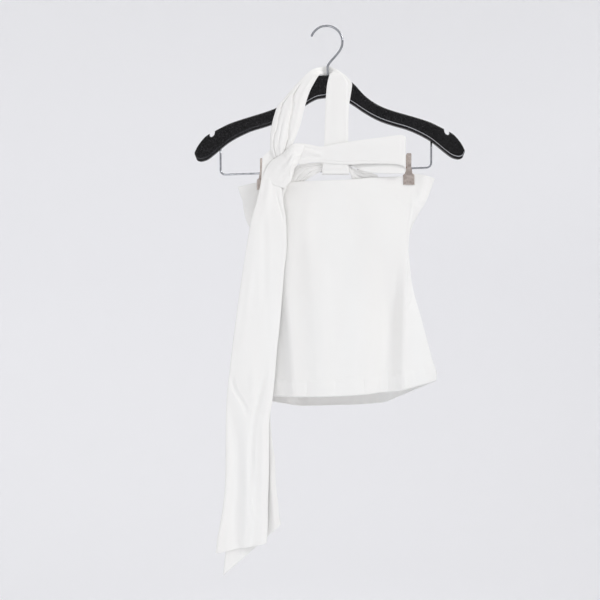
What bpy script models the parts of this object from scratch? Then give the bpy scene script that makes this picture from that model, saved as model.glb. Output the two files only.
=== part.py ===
"""White strapless bodice with a neck band and a long knotted scarf, clipped flat on a hanger.

Sizes are in millimetres and each mesh is scaled to metres as it is made. X runs to the
right, Z up, and the front faces -Y. The origin is where the hook rests on its support.
"""

import math
from typing import NamedTuple

import bmesh
import bpy
import numpy as np
from mathutils import Matrix, Vector

MM = 0.001
BODY_WALL = 1.8
SCARF_WALL = 1.6
EDGE_GAP = 0.3

# The bodice hangs with its right side a little high, turned about the middle of its top edge.
BODY_TOP_MIDDLE = (15.2, -256.8)
BODY_LEAN = math.radians(1.8)
BODY_LENGTH = 334.0
SEAM_DEPTH = (BODY_WALL + EDGE_GAP) / 2
SIDE_STEPS = 4
FACE_STEPS = 18
FRONT_LEVELS = 20
BACK_LEVELS = 15
PINCHED_POWER = 1.5
FULL_POWER = 4
BULGE_POWER = 0.8
FOLD_END_SHARE = 0.25

HANGER_MIDDLE = 2.5
HANGER_HALF_DEPTH = 7.0
HANGER_TILT = math.radians(0.5)
HANGER_TOP_CHAMFER = 2.5
HANGER_LOW_CHAMFER = 5.0
HANGER_LOW_CHAMFER_DEPTH = 3.0
NOTCH_AT = 196.0
NOTCH_HALF = 3.2
NOTCH_DEPTH = 7.0
NOTCH_SLOPE = 1.5
NOTCH_ROOM = 3.0

HOOK_WIRE = 3.9
HOOK_RADIUS = 26.3
HOOK_MIDDLE = (-0.8, -24.8)
HOOK_TIP_ANGLE = 158.0
HOOK_TURN_ANGLE = -28.0
HOOK_STEPS = 22
STEM_X = 1.0
STEM_STRAIGHT_FROM = -67.5
STEM_HOLE_DEPTH = 14.0
STEM_END_GAP = 0.5
HOOK_HANDLE = 13.0
STEM_HANDLE = 8.0
BEND_STEPS = 10

BAR_WIRE = 3.3
BAR_LEFT = (-176.0, -244.8)
BAR_RIGHT = (172.3, -232.9)
BAR_BEND = 8.0
BAR_BEND_STEPS = 5
ARC_REACH = 0.55
BAR_TOP_LEFT = -190.0
BAR_TOP_RIGHT = -187.0
HOLE_CLEARANCE = 0.35
HOLE_END_GAP = 1.0
HOLE_SIDES = 12
DRILL_LOWEST = -260.0
DRILL_HIGHEST = -60.0

CLIP_WALL = 1.2
CLIP_DEPTH = 4.2
CLIP_HALF_TAB = 4.0
CLIP_HALF_JAW = 9.0
CLIP_TOP = 24.0
CLIP_BOTTOM = -27.5
CLIP_AT = {"left": -106.7, "right": 135.0}
CLIP_COLUMNS = 4
SPRING_HALF = 4.6
SPRING_OUTER = 3.35
SPRING_SIDES = 14
WELD = 0.01


class BodyRow(NamedTuple):
    """One level of the bodice, in its own upright frame, measured down from its top edge."""

    level: float
    left: float
    right: float
    ridge_left: float
    ridge_right: float
    ridge_front: float
    middle_front: float
    ridge_back: float
    middle_back: float
    pinch: float


BODY_ROWS = (
    BodyRow(0, 163, 163, 121, 120, 1.3, 11, 1.3, 8, 1),
    BodyRow(24, 155.8, 154.6, 121, 122, 1.9, 13, 1.9, 10, 1),
    BodyRow(42, 154, 147, 121.5, 124.5, 12, 16.5, 8, 12, 0.5),
    BodyRow(60, 149.5, 135.5, 120.5, 122, 17, 20, 11, 14, 0),
    BodyRow(84, 132, 121, 117, 117.2, 19.5, 23, 13, 16, 0),
    BodyRow(100, 121, 113.8, 114.5, 114.8, 20, 24.5, 14.5, 17.5, 0),
    BodyRow(136, 115, 116.5, 110.5, 111.2, 20.5, 26, 16, 20, 0),
    BodyRow(166, 117, 118.5, 108, 108.6, 21, 27.5, 17, 22, 0),
    BodyRow(191, 122, 123, 105.5, 106, 21.5, 29, 18, 24, 0),
    BodyRow(222, 130, 131.2, 103, 103.2, 22, 31, 20, 27, 0),
    BodyRow(256, 138.5, 139.4, 101.5, 102, 23, 33, 22, 30, 0),
    BodyRow(297, 148, 149.1, 99.5, 100, 24.5, 34.5, 24, 33, 0),
    BodyRow(324, 154.5, 155.8, 99, 99.5, 25.5, 35.5, 25, 34, 0),
    BodyRow(334, 154, 154.5, 99, 99.5, 26, 36, 26, 34, 0),
)


class EdgePoint(NamedTuple):
    """A point of the bodice's top edge or hem: sideways from the middle, and up."""

    across: float
    up: float


TOP_EDGE = (
    EdgePoint(-163, -3.1),
    EdgePoint(-121, 3.6),
    EdgePoint(-68.7, 1.8),
    EdgePoint(9.3, 1.9),
    EdgePoint(71.8, 5.0),
    EdgePoint(112, 5.4),
    EdgePoint(129, 9.0),
    EdgePoint(163, 1),
)
FRONT_HEM = (
    EdgePoint(-154.5, -334.5),
    EdgePoint(-114.6, -348.9),
    EdgePoint(-22.3, -351),
    EdgePoint(74.9, -348.3),
    EdgePoint(107.5, -343.1),
    EdgePoint(155, -334),
)
BACK_HEM = (
    EdgePoint(-154.5, -334.5),
    EdgePoint(-117, -361),
    EdgePoint(-54.7, -371.9),
    EdgePoint(13, -372.5),
    EdgePoint(63.7, -370.4),
    EdgePoint(92.7, -361),
    EdgePoint(125, -347),
    EdgePoint(155, -334),
)


class BodyFold(NamedTuple):
    """A soft fold down the bodice: places across at its two ends, levels, half width, rise."""

    across_from: float
    across_to: float
    level_from: float
    level_to: float
    half_width: float
    rise: float


FRONT_FOLDS = (
    BodyFold(98, 81, 160, 420, 19, -6.5),
    BodyFold(60, 40, 20, 210, 46, 1.5),
    BodyFold(-70, -62, 30, 400, 24, -2.2),
    BodyFold(-34, -30, 90, 420, 26, 1.6),
    BodyFold(-104, -88, 150, 420, 18, -3.5),
)
BACK_FOLDS = (
    BodyFold(-84, -70, 120, 430, 20, -5.5),
    BodyFold(90, 72, 90, 430, 22, -5.0),
    BodyFold(10, -14, 150, 430, 30, 3.0),
)


class StripRow(NamedTuple):
    """One line across a strip of cloth, from its first edge to its second, and its bulge."""

    first_x: float
    first_z: float
    second_x: float
    second_z: float
    first_y: float
    second_y: float
    bulge: float = 0.0


class StripFold(NamedTuple):
    """A fold along a strip: rows it runs between, places across at its ends, width, rise."""

    row_from: float
    row_to: float
    across_from: float
    across_to: float
    half_width: float
    rise: float


# From the knot up the bunched left side, behind the hook's stem, down the flat right side
# and round the keeper loop at its end. The first edge is the outer one.
NECK_ROWS = (
    StripRow(-90.5, -210.5, -66, -207, -13.4, -13.4, 2.4),
    StripRow(-94.0, -197, -56, -194, -12.6, -12.6, 3.2),
    StripRow(-93.2, -184, -50.3, -180.7, -11.2, -11.2, 3.4),
    StripRow(-90.5, -163, -44, -163, -9.6, -9.6, 3.4),
    StripRow(-86, -145.6, -38.2, -139, -8.7, -8.7, 3.4),
    StripRow(-82, -134.5, -33.5, -122, -8.7, -8.7, 3.2),
    StripRow(-72, -122.8, -27, -105, -8.7, -8.7, 2.6),
    StripRow(-54.5, -101.9, -20.5, -93, -8.7, -8.7, 1.8),
    StripRow(-38.7, -85.1, -14.5, -83.5, -8.8, -8.7, 0.8),
    StripRow(-23, -71.5, -9.5, -79.7, -5.0, -5.0),
    StripRow(-9, -66, -5.5, -79.7, 3.2, 2.2),
    StripRow(1, -64, 1, -79.7, 5.0, 4.4),
    StripRow(9, -67, 6.3, -79.6, 2.2, 0.5),
    StripRow(22, -76.5, 5.0, -79.7, -6.8, -7.6),
    StripRow(33, -85.5, 1.5, -90, -8.8, -8.8),
    StripRow(41.0, -97.5, -0.5, -101, -8.8, -8.8),
    StripRow(38.3, -117.4, -2.3, -121.2, -8.8, -8.8),
    StripRow(36.0, -133, -2.9, -135, -8.9, -8.9),
    StripRow(34.8, -165, -4.0, -166, -10.0, -10.0),
    StripRow(34.6, -193, -5.0, -196.6, -12.2, -12.2),
    StripRow(35.2, -222, -7.2, -222, -13.4, -13.4),
    StripRow(35.9, -242.5, -8.5, -242.5, -13.5, -13.5),
    StripRow(35.9, -244.7, -8.5, -244.7, -12.6, -12.6),
    StripRow(35.9, -245.6, -8.5, -245.6, -10.5, -10.5),
    StripRow(35.9, -244.7, -8.5, -244.7, -8.4, -8.4),
    StripRow(35.9, -242.5, -8.5, -242.5, -7.5, -7.5),
    StripRow(35.5, -226, -8.0, -226, -7.4, -7.4),
)
NECK_FOLDS = (
    StripFold(-2, 7.6, 0.62, 0.42, 0.10, -2.4),
    StripFold(-2, 5.2, 0.40, 0.24, 0.09, -2.0),
    StripFold(-2, 8.4, 0.84, 0.66, 0.12, 1.8),
    StripFold(-2, 6.0, 0.18, 0.06, 0.10, 1.4),
    StripFold(13.2, 20.5, 0.17, 0.14, 0.06, -1.2),
)

# Front pass from the knot to the fold at the right, then back behind the neck band.
CROSS_ROWS = (
    StripRow(-58, -202, -56, -226, -17.0, -17.0),
    StripRow(-45, -195.5, -42, -230, -17.2, -16.6),
    StripRow(-27, -198, -24, -226.5, -16.8, -16.4),
    StripRow(-12, -201, -10, -224.2, -16.6, -16.4),
    StripRow(8, -197.5, 10, -224.8, -16.9, -16.6),
    StripRow(36, -192.8, 38, -227, -16.9, -16.8),
    StripRow(62, -189.2, 62, -226.4, -16.8, -16.4),
    StripRow(88, -185.8, 88, -226.8, -16.4, -15.6),
    StripRow(110, -182.6, 110, -227.6, -15.8, -15.0),
    StripRow(120, -182.0, 121, -229.6, -15.2, -14.6),
    StripRow(126.6, -183.6, 126.8, -234.0, -13.6, -13.4),
    StripRow(128.6, -185.2, 128.4, -239.5, -11.0, -10.8),
    StripRow(126.8, -186.4, 126.8, -244.2, -8.4, -10.0),
    StripRow(118, -188, 119, -244.6, -6.8, -11.2),
    StripRow(100, -190, 100, -243.6, -6.2, -11.8),
    StripRow(76, -193, 76, -243.2, -5.8, -11.6),
    StripRow(55, -196, 55, -239.4, -5.4, -10.4),
    StripRow(36, -199, 36, -229.6, -5.0, -5.2),
    StripRow(10, -202, 10, -223, -5.0, -5.0),
    StripRow(-20, -204, -20, -221, -5.0, -5.0),
    StripRow(-50, -205, -50, -219, -5.4, -5.4),
)
CROSS_FOLDS = (
    StripFold(0.2, 3.6, 0.34, 0.52, 0.14, 1.5),
    StripFold(1.2, 9.4, 0.86, 0.80, 0.10, 1.3),
    StripFold(5.2, 9.8, 0.30, 0.34, 0.26, 0.8),
)

# The gathered cloth that the keeper holds: out of the bodice, through it and in again.
GATHER_ROWS = (
    StripRow(-66, -268, -27, -268, -2.4, -2.6),
    StripRow(-61, -253, -22.5, -254, -2.5, -3.6),
    StripRow(-57.5, -240.5, -20, -246.5, -4.8, -6.2),
    StripRow(-50, -231.5, -15.5, -242.8, -7.4, -8.4),
    StripRow(-31, -227.4, -12, -241.4, -9.4, -9.8),
    StripRow(-13, -226.6, -9.5, -241, -10.5, -10.5),
    StripRow(2, -226.6, 2, -241, -10.5, -10.5),
    StripRow(16, -226.6, 16, -241, -10.5, -10.5),
    StripRow(29, -226.8, 29, -241, -10.5, -10.5),
    StripRow(36.5, -229.8, 36.5, -241.4, -10.3, -10.3),
    StripRow(42, -236.2, 39, -244.5, -9, -9),
    StripRow(52, -240.6, 41, -251, -7, -6.4),
    StripRow(66, -243.4, 44, -259, -5, -4.4),
    StripRow(82, -247.2, 50, -268, -3.4, -3.2),
    StripRow(88, -262, 56, -276, -2.6, -2.8),
)
GATHER_FOLDS = (
    StripFold(0.5, 12.5, 0.20, 0.20, 0.10, -0.9),
    StripFold(0.5, 12.5, 0.42, 0.42, 0.10, 0.8),
    StripFold(0.5, 12.5, 0.64, 0.64, 0.10, -0.9),
    StripFold(0.5, 12.5, 0.85, 0.85, 0.10, 0.7),
)

# The wrap of the knot: from the band's start, down and left over the neck band's end.
KNOT_ROWS = (
    StripRow(-33, -193.5, -45, -225, -19.7, -19.9, 1.2),
    StripRow(-45, -189.5, -50, -231, -20.4, -20.8, 4.4),
    StripRow(-57, -193, -55, -237.5, -21.5, -22, 7.5),
    StripRow(-67, -203.5, -59, -244.5, -22, -22, 8.5),
    StripRow(-78, -213.5, -62, -251, -22, -22.5, 8),
    StripRow(-90, -220.5, -65.5, -257, -21.6, -23.6, 6.5),
    StripRow(-101, -227, -70, -262, -20.3, -25.4, 4),
    StripRow(-108.5, -236.5, -76, -266.5, -19.9, -27.8, 1.8),
)
KNOT_FOLDS = (
    StripFold(-1, 7.5, 0.32, 0.36, 0.13, -1.8),
    StripFold(0, 7.5, 0.64, 0.60, 0.12, -1.6),
    StripFold(1, 6.5, 0.14, 0.12, 0.10, -1.2),
)

FRONT_TAIL_ROWS = (
    StripRow(-92.5, -204, -68, -208, -10.4, -10.4),
    StripRow(-106.5, -220, -62, -222, -11.6, -12.0),
    StripRow(-107, -236, -67, -238, -16.8, -16.8),
    StripRow(-107.6, -253.7, -80.8, -254, -22.0, -22.0, 0.4),
    StripRow(-111.1, -274.6, -77.8, -276, -25.6, -25.6, 0.8),
    StripRow(-116.5, -296, -73.2, -295.6, -28.2, -28.2, 1.2),
    StripRow(-124.5, -326.3, -67.2, -326.3, -30.6, -30.6, 1.5),
    StripRow(-130.8, -362, -66.3, -362.5, -31.8, -31.8, 1.8),
    StripRow(-137.2, -404, -70.5, -404.8, -32.8, -32.8, 2.0),
    StripRow(-144, -450, -74.0, -450, -33.8, -33.8, 2.3),
    StripRow(-149.5, -492, -77.6, -492, -34.8, -34.8, 2.6),
    StripRow(-154.9, -536, -82.4, -536, -36.0, -36.0, 2.9),
    StripRow(-159.6, -577, -85.6, -577, -37.0, -37.0, 3.1),
    StripRow(-163.2, -615, -89.6, -615, -37.6, -37.6, 3.2),
    StripRow(-164.3, -655, -94.6, -655, -37.4, -37.4, 3.2),
    StripRow(-164.6, -700, -94.8, -700, -36.6, -36.6, 3.2),
    StripRow(-165.2, -745, -95.4, -745, -35.6, -35.6, 3.1),
    StripRow(-168.5, -782, -96.7, -782, -34.6, -34.6, 3.0),
    StripRow(-174.2, -818, -96.9, -814, -33.6, -33.6, 3.0),
    StripRow(-178.6, -842, -98.0, -832, -33.0, -33.0, 3.0),
    StripRow(-180.6, -862.5, -99.0, -846, -32.6, -32.6, 3.0),
)
FRONT_TAIL_FOLDS = (
    StripFold(11.5, 24, 0.06, 0.50, 0.12, -4.0),
    StripFold(9.5, 16.8, 0.76, 0.56, 0.12, -3.2),
    StripFold(10.5, 16.0, 0.34, 0.42, 0.15, 2.4),
    StripFold(6.2, 10.5, 0.30, 0.72, 0.12, -1.8),
    StripFold(15.0, 24, 0.14, 0.22, 0.12, 2.6),
    StripFold(14.0, 24, 0.80, 0.74, 0.14, 2.0),
    StripFold(-1, 6.5, 0.46, 0.36, 0.16, 1.8),
)

BACK_TAIL_ROWS = (
    StripRow(-92, -238, -54, -239, -14.9, -14.9),
    StripRow(-96, -254, -58.0, -254.7, -18.4, -18.0),
    StripRow(-99, -268, -66.6, -268.6, -21.4, -20.4),
    StripRow(-103, -286, -72.0, -286, -23.6, -22.4),
    StripRow(-110, -326, -76.0, -326, -26.4, -25.4),
    StripRow(-118, -385, -78.0, -385, -28.4, -27.6),
    StripRow(-126, -450, -81.0, -450, -29.6, -29.0),
    StripRow(-136, -520, -86.0, -520, -30.4, -30.2),
    StripRow(-145, -585, -90.5, -585, -31.0, -31.0),
    StripRow(-151, -632, -93.0, -632, -31.4, -31.4),
    StripRow(-155, -677, -90.1, -677, -31.0, -31.0),
    StripRow(-157, -712, -85.2, -712, -30.4, -30.4),
    StripRow(-158, -748, -84.2, -748, -29.6, -29.6),
    StripRow(-160, -790, -80.6, -777, -28.8, -28.8),
    StripRow(-164, -845, -78.6, -801, -28.0, -28.0),
    StripRow(-169.3, -899.7, -75.2, -817.2, -27.2, -27.2),
)
BACK_TAIL_FOLDS = (
    StripFold(8.5, 19, 0.72, 0.82, 0.12, -2.2),
    StripFold(7.5, 19, 0.34, 0.30, 0.16, 1.0),
)


class HangerRow(NamedTuple):
    """One station of the hanger's body, out from its middle."""

    out: float
    top: float
    bottom: float


HANGER_ROWS = (
    HangerRow(0, -80.7, -117.3),
    HangerRow(18.5, -81.0, -119.6),
    HangerRow(28, -86.0, -123.6),
    HangerRow(40.7, -95.1, -131.4),
    HangerRow(58.2, -114.2, -143.4),
    HangerRow(72, -125.0, -151.6),
    HangerRow(86.5, -133.2, -158.5),
    HangerRow(106, -140.6, -165.2),
    HangerRow(127.7, -147.1, -171.6),
    HangerRow(146, -152.6, -179.4),
    HangerRow(165.8, -159.4, -190.4),
    HangerRow(180, -166.2, -201.6),
    HangerRow(192, -172.6, -211.6),
    HangerRow(204, -179.4, -219.6),
    HangerRow(213, -189.0, -221.6),
    HangerRow(219, -197.6, -219.4),
    HangerRow(222.4, -204.4, -211.0),
)
HANGER_STEPS = 15


class ClipRow(NamedTuple):
    """One line across a clip's plate, up from the bar."""

    up: float
    half_width: float
    out: float


CLIP_ROWS = (
    ClipRow(CLIP_TOP, CLIP_HALF_TAB, CLIP_DEPTH + 2.4),
    ClipRow(14, CLIP_HALF_TAB, CLIP_DEPTH + 1.0),
    ClipRow(4, CLIP_HALF_TAB, CLIP_DEPTH + 0.1),
    ClipRow(-5, CLIP_HALF_TAB + 0.4, CLIP_DEPTH),
    ClipRow(-9, CLIP_HALF_JAW, CLIP_DEPTH),
    ClipRow(-20, CLIP_HALF_JAW, CLIP_DEPTH),
    ClipRow(CLIP_BOTTOM, CLIP_HALF_JAW, CLIP_DEPTH - 0.05),
)


def smooth(places, values, at):
    """Value at a place on the monotone cubic through the given points."""
    places = np.asarray(places, float)
    values = np.asarray(values, float)
    steps = np.diff(places)
    slopes = np.diff(values) / steps
    tangents = np.empty(len(values))
    tangents[0] = slopes[0]
    tangents[-1] = slopes[-1]
    before = slopes[:-1]
    after = slopes[1:]
    turning = before * after <= 0
    total = np.where(turning, 1.0, before + after)
    tangents[1:-1] = np.where(turning, 0.0, 2 * before * after / total)
    index = int(np.clip(np.searchsorted(places, at) - 1, 0, len(steps) - 1))
    step = steps[index]
    t = (at - places[index]) / step
    rise = values[index + 1] - values[index]
    start = tangents[index] * step
    end = tangents[index + 1] * step
    return float(values[index] + t * start + t * t * (3 * rise - 2 * start - end)
                 + t * t * t * (start + end - 2 * rise))


def column(rows, name, at):
    """A named column of a table, read at a place along the table's first column."""
    return smooth([row[0] for row in rows], [getattr(row, name) for row in rows], at)


def blend(first, second, share):
    """A number between two others."""
    return first + (second - first) * share


def bump(distance):
    """A soft ridge: one in the middle, none from a distance of one outwards."""
    return math.cos(distance * math.pi / 2) ** 2 if abs(distance) < 1 else 0.0


def fade(share):
    """Rises from none at each end of a fold to full a little way along it."""
    near_end = min(share, 1 - share) / FOLD_END_SHARE
    near_end = min(max(near_end, 0.0), 1.0)
    return near_end * near_end * (3 - 2 * near_end)


def finish(name, hex_colour, roughness, metallic):
    """A plain Principled material in the colour of its piece."""
    material = bpy.data.materials.new(name)
    material.use_nodes = True
    channels = [int(hex_colour[i:i + 2], 16) / 255 for i in (0, 2, 4)]
    linear = [c / 12.92 if c <= 0.04045 else ((c + 0.055) / 1.055) ** 2.4 for c in channels]
    shader = material.node_tree.nodes["Principled BSDF"]
    shader.inputs["Base Color"].default_value = (*linear, 1)
    shader.inputs["Roughness"].default_value = roughness
    shader.inputs["Metallic"].default_value = metallic
    return material


def place(name, mesh, material):
    """Puts a mesh in the scene as an object of one material."""
    obj = bpy.data.objects.new(name, mesh)
    mesh.materials.append(material)
    bpy.context.scene.collection.objects.link(obj)
    return obj


def sheet(name, columns, rows, point, wall, material):
    """A wall of cloth or plate: a grid shaped by point(column, row) and given its thickness."""
    shape = bmesh.new()
    bmesh.ops.create_grid(shape, x_segments=columns, y_segments=rows, size=1)
    shape.verts.ensure_lookup_table()
    for vertex in shape.verts:
        row, place_across = divmod(vertex.index, columns + 1)
        vertex.co = Vector(point(place_across, row)) * MM
    mesh = bpy.data.meshes.new(name)
    shape.to_mesh(mesh)
    shape.free()
    mesh.shade_smooth()
    obj = place(name, mesh, material)
    solidify = obj.modifiers.new("wall", "SOLIDIFY")
    solidify.thickness = wall * MM
    solidify.offset = 0
    return obj


def body_section(side, level):
    """Points across one level of the front (side 1) or back (side -1), seam to seam."""
    row = {name: column(BODY_ROWS, name, level) for name in BodyRow._fields[1:]}
    ridge = row["ridge_front"] if side > 0 else row["ridge_back"]
    middle = row["middle_front"] if side > 0 else row["middle_back"]
    points = []
    for step in range(SIDE_STEPS):
        share = step / SIDE_STEPS
        points.append((blend(-row["left"], -row["ridge_left"], share),
                       blend(SEAM_DEPTH, ridge, share)))
    for step in range(FACE_STEPS + 1):
        share = step / FACE_STEPS
        pinched = math.sin(math.pi * share) ** PINCHED_POWER
        full = 1 - (2 * share - 1) ** FULL_POWER
        swell = blend(full, pinched, row["pinch"])
        points.append((blend(-row["ridge_left"], row["ridge_right"], share),
                       blend(ridge, middle, swell)))
    for step in range(1, SIDE_STEPS + 1):
        share = step / SIDE_STEPS
        points.append((blend(row["ridge_right"], row["right"], share),
                       blend(ridge, SEAM_DEPTH, share)))
    return points


def softened(points):
    """The section with each inner point drawn a little towards its neighbours."""
    inner = [tuple((a + 2 * b + c) / 4 for a, b, c in zip(before, point, after))
             for before, point, after in zip(points, points[1:], points[2:])]
    return [points[0], *inner, points[-1]]


def body_panel(name, side, hem, folds, levels, material):
    """The bodice's front or back: from top edge to hem, and from seam to seam."""
    sections = []
    for step in range(levels + 1):
        level = BODY_LENGTH * step / levels
        section = []
        for across, depth in softened(body_section(side, level)):
            for fold in folds:
                share = (level - fold.level_from) / (fold.level_to - fold.level_from)
                middle = blend(fold.across_from, fold.across_to, share)
                depth += fold.rise * bump((across - middle) / fold.half_width) * fade(share)
            top = column(TOP_EDGE, "up", across)
            bottom = column(hem, "up", across)
            section.append((across, -side * depth, blend(top, bottom, level / BODY_LENGTH)))
        sections.append(section)
    lean = Matrix.Rotation(-BODY_LEAN, 3, "Y")
    middle = Vector((BODY_TOP_MIDDLE[0], 0, BODY_TOP_MIDDLE[1]))

    def point(place_across, row):
        return lean @ Vector(sections[levels - row][place_across]) + middle

    return sheet(name, FACE_STEPS + 2 * SIDE_STEPS, levels, point, BODY_WALL, material)


def strip(name, rows, folds, across_steps, along_steps, material):
    """A strip of cloth through the lines of a table, with its folds along it."""
    stations = list(range(len(rows)))
    columns = {field: [getattr(row, field) for row in rows] for field in StripRow._fields}

    def point(place_across, row):
        at = (len(rows) - 1) * row / along_steps
        share = place_across / across_steps
        line = {field: smooth(stations, values, at) for field, values in columns.items()}
        depth = blend(line["first_y"], line["second_y"], share)
        depth -= line["bulge"] * math.sin(math.pi * share) ** BULGE_POWER
        for fold in folds:
            along = (at - fold.row_from) / (fold.row_to - fold.row_from)
            middle = blend(fold.across_from, fold.across_to, along)
            depth -= fold.rise * bump((share - middle) / fold.half_width) * fade(along)
        return (blend(line["first_x"], line["second_x"], share), depth,
                blend(line["first_z"], line["second_z"], share))

    return sheet(name, across_steps, along_steps, point, SCARF_WALL, material)


def tube(name, points, diameter, material):
    """A round wire along points, with closed ends."""
    curve = bpy.data.curves.new(name, "CURVE")
    curve.dimensions = "3D"
    curve.bevel_depth = diameter / 2 * MM
    curve.bevel_resolution = 2
    curve.use_fill_caps = True
    spline = curve.splines.new("POLY")
    spline.points.add(len(points) - 1)
    for target, point in zip(spline.points, points):
        target.co = (point[0] * MM, point[1] * MM, point[2] * MM, 1)
    return place(name, curve, material)


def arc(middle, radius, start, end, steps):
    """Points in the X-Z plane round a middle, between two angles in degrees."""
    angles = [math.radians(blend(start, end, step / steps)) for step in range(steps + 1)]
    return [(middle[0] + radius * math.cos(a), 0, middle[1] + radius * math.sin(a))
            for a in angles]


def curve_between(start, start_way, end, end_way, steps):
    """Points of a cubic from one end to the other, without the first."""
    points = []
    for step in range(1, steps + 1):
        t = step / steps
        weights = ((1 - t) ** 3, 3 * t * (1 - t) ** 2, 3 * t * t * (1 - t), t ** 3)
        stops = (start, start + start_way, end - end_way, end)
        points.append(tuple(sum((w * s for w, s in zip(weights, stops)), Vector())))
    return points


def bar_height(across):
    """Height of the sloping bar at a place across."""
    share = (across - BAR_LEFT[0]) / (BAR_RIGHT[0] - BAR_LEFT[0])
    return blend(BAR_LEFT[1], BAR_RIGHT[1], share)


def drill(target, name, across, low, high, diameter):
    """Cuts an upright round hole into the hanger's body."""
    shape = bmesh.new()
    bmesh.ops.create_cone(shape, cap_ends=True, segments=HOLE_SIDES, radius1=diameter / 2 * MM,
                          radius2=diameter / 2 * MM, depth=(high - low) * MM)
    bmesh.ops.translate(shape, verts=shape.verts, vec=Vector((across, 0, (low + high) / 2)) * MM)
    mesh = bpy.data.meshes.new(name)
    shape.to_mesh(mesh)
    shape.free()
    cutter = bpy.data.objects.new(name, mesh)
    cutter.hide_render = True
    cutter.display_type = "WIRE"
    bpy.context.scene.collection.objects.link(cutter)
    cut = target.modifiers.new(name, "BOOLEAN")
    cut.operation = "DIFFERENCE"
    cut.object = cutter


def hanger_body(material):
    """The wooden body: eight-sided sections from tip to tip, notched on both shoulders."""
    outs = [HANGER_ROWS[-1].out * step / HANGER_STEPS for step in range(HANGER_STEPS)]
    outs += [row.out for row in HANGER_ROWS[-3:]]
    edges = (NOTCH_AT - NOTCH_HALF, NOTCH_AT + NOTCH_HALF)
    outs = [out for out in outs if abs(out - NOTCH_AT) >= NOTCH_HALF + NOTCH_ROOM]
    outs += [edges[0] - NOTCH_SLOPE, *edges, edges[1] + NOTCH_SLOPE]
    outs = sorted(set(outs))
    stations = [-out for out in reversed(outs[1:])] + outs
    rings = []
    for station in stations:
        out = abs(station)
        top = column(HANGER_ROWS, "top", out)
        bottom = column(HANGER_ROWS, "bottom", out)
        if edges[0] <= out <= edges[1]:
            top -= NOTCH_DEPTH
        room = (top - bottom) / 3
        upper = min(HANGER_TOP_CHAMFER, room)
        lower = min(HANGER_LOW_CHAMFER, room)
        deep = HANGER_HALF_DEPTH - HANGER_LOW_CHAMFER_DEPTH
        half = HANGER_HALF_DEPTH
        ring = ((-half, top - upper), (upper - half, top), (half - upper, top),
                (half, top - upper), (half, bottom + lower), (deep, bottom),
                (-deep, bottom), (-half, bottom + lower))
        rings.append([(station, depth, height) for depth, height in ring])
    shape = bmesh.new()
    tilt = Matrix.Rotation(-HANGER_TILT, 3, "Y")
    middle = Vector((HANGER_MIDDLE, 0, 0))
    loops = [[shape.verts.new((tilt @ Vector(point) + middle) * MM) for point in ring]
             for ring in rings]
    for first, second in zip(loops, loops[1:]):
        for i, vertex in enumerate(first):
            after = (i + 1) % len(first)
            shape.faces.new((vertex, second[i], second[after], first[after]))
    shape.faces.new(loops[0])
    shape.faces.new(reversed(loops[-1]))
    bmesh.ops.recalc_face_normals(shape, faces=shape.faces)
    mesh = bpy.data.meshes.new("hanger_body")
    shape.to_mesh(mesh)
    shape.free()
    body = place("hanger_body", mesh, material)
    hole = BAR_WIRE + 2 * HOLE_CLEARANCE
    drill(body, "hole_left", BAR_LEFT[0], DRILL_LOWEST, BAR_TOP_LEFT + HOLE_END_GAP, hole)
    drill(body, "hole_right", BAR_RIGHT[0], DRILL_LOWEST, BAR_TOP_RIGHT + HOLE_END_GAP, hole)
    drill(body, "hole_stem", STEM_X, HANGER_ROWS[0].top - STEM_HOLE_DEPTH, DRILL_HIGHEST,
          HOOK_WIRE + 2 * HOLE_CLEARANCE)
    return body


def hanger_hook(material):
    """The wire hook: a round loop, a reverse bend and a stem into the hanger's top."""
    points = arc(HOOK_MIDDLE, HOOK_RADIUS, HOOK_TIP_ANGLE, HOOK_TURN_ANGLE, HOOK_STEPS)
    turn = math.radians(HOOK_TURN_ANGLE)
    leaving = Vector((math.sin(turn), 0, -math.cos(turn)))
    start = Vector(points[-1])
    foot = Vector((STEM_X, 0, STEM_STRAIGHT_FROM))
    down = Vector((0, 0, -STEM_HANDLE))
    points += curve_between(start, leaving * HOOK_HANDLE, foot, down, BEND_STEPS)
    points.append((STEM_X, 0, HANGER_ROWS[0].top))
    points.append((STEM_X, 0, HANGER_ROWS[0].top - STEM_HOLE_DEPTH + STEM_END_GAP))
    return tube("hanger_hook", points, HOOK_WIRE, material)


def hanger_bar(material):
    """The trouser bar: a wire down from one arm, across, and up into the other."""
    slope = Vector((BAR_RIGHT[0] - BAR_LEFT[0], 0, BAR_RIGHT[1] - BAR_LEFT[1])).normalized()
    down = Vector((0, 0, -BAR_BEND))
    left = Vector((BAR_LEFT[0], 0, BAR_LEFT[1]))
    right = Vector((BAR_RIGHT[0], 0, BAR_RIGHT[1]))
    reach = BAR_BEND * ARC_REACH
    points = [(BAR_LEFT[0], 0, BAR_TOP_LEFT), tuple(left - down)]
    points += curve_between(left - down, down.normalized() * reach,
                            left + slope * BAR_BEND, slope * reach, BAR_BEND_STEPS)
    points.append(tuple(right - slope * BAR_BEND))
    points += curve_between(right - slope * BAR_BEND, slope * reach,
                            right - down, -down.normalized() * reach, BAR_BEND_STEPS)
    points.append((BAR_RIGHT[0], 0, BAR_TOP_RIGHT))
    return tube("hanger_bar", points, BAR_WIRE, material)


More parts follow.
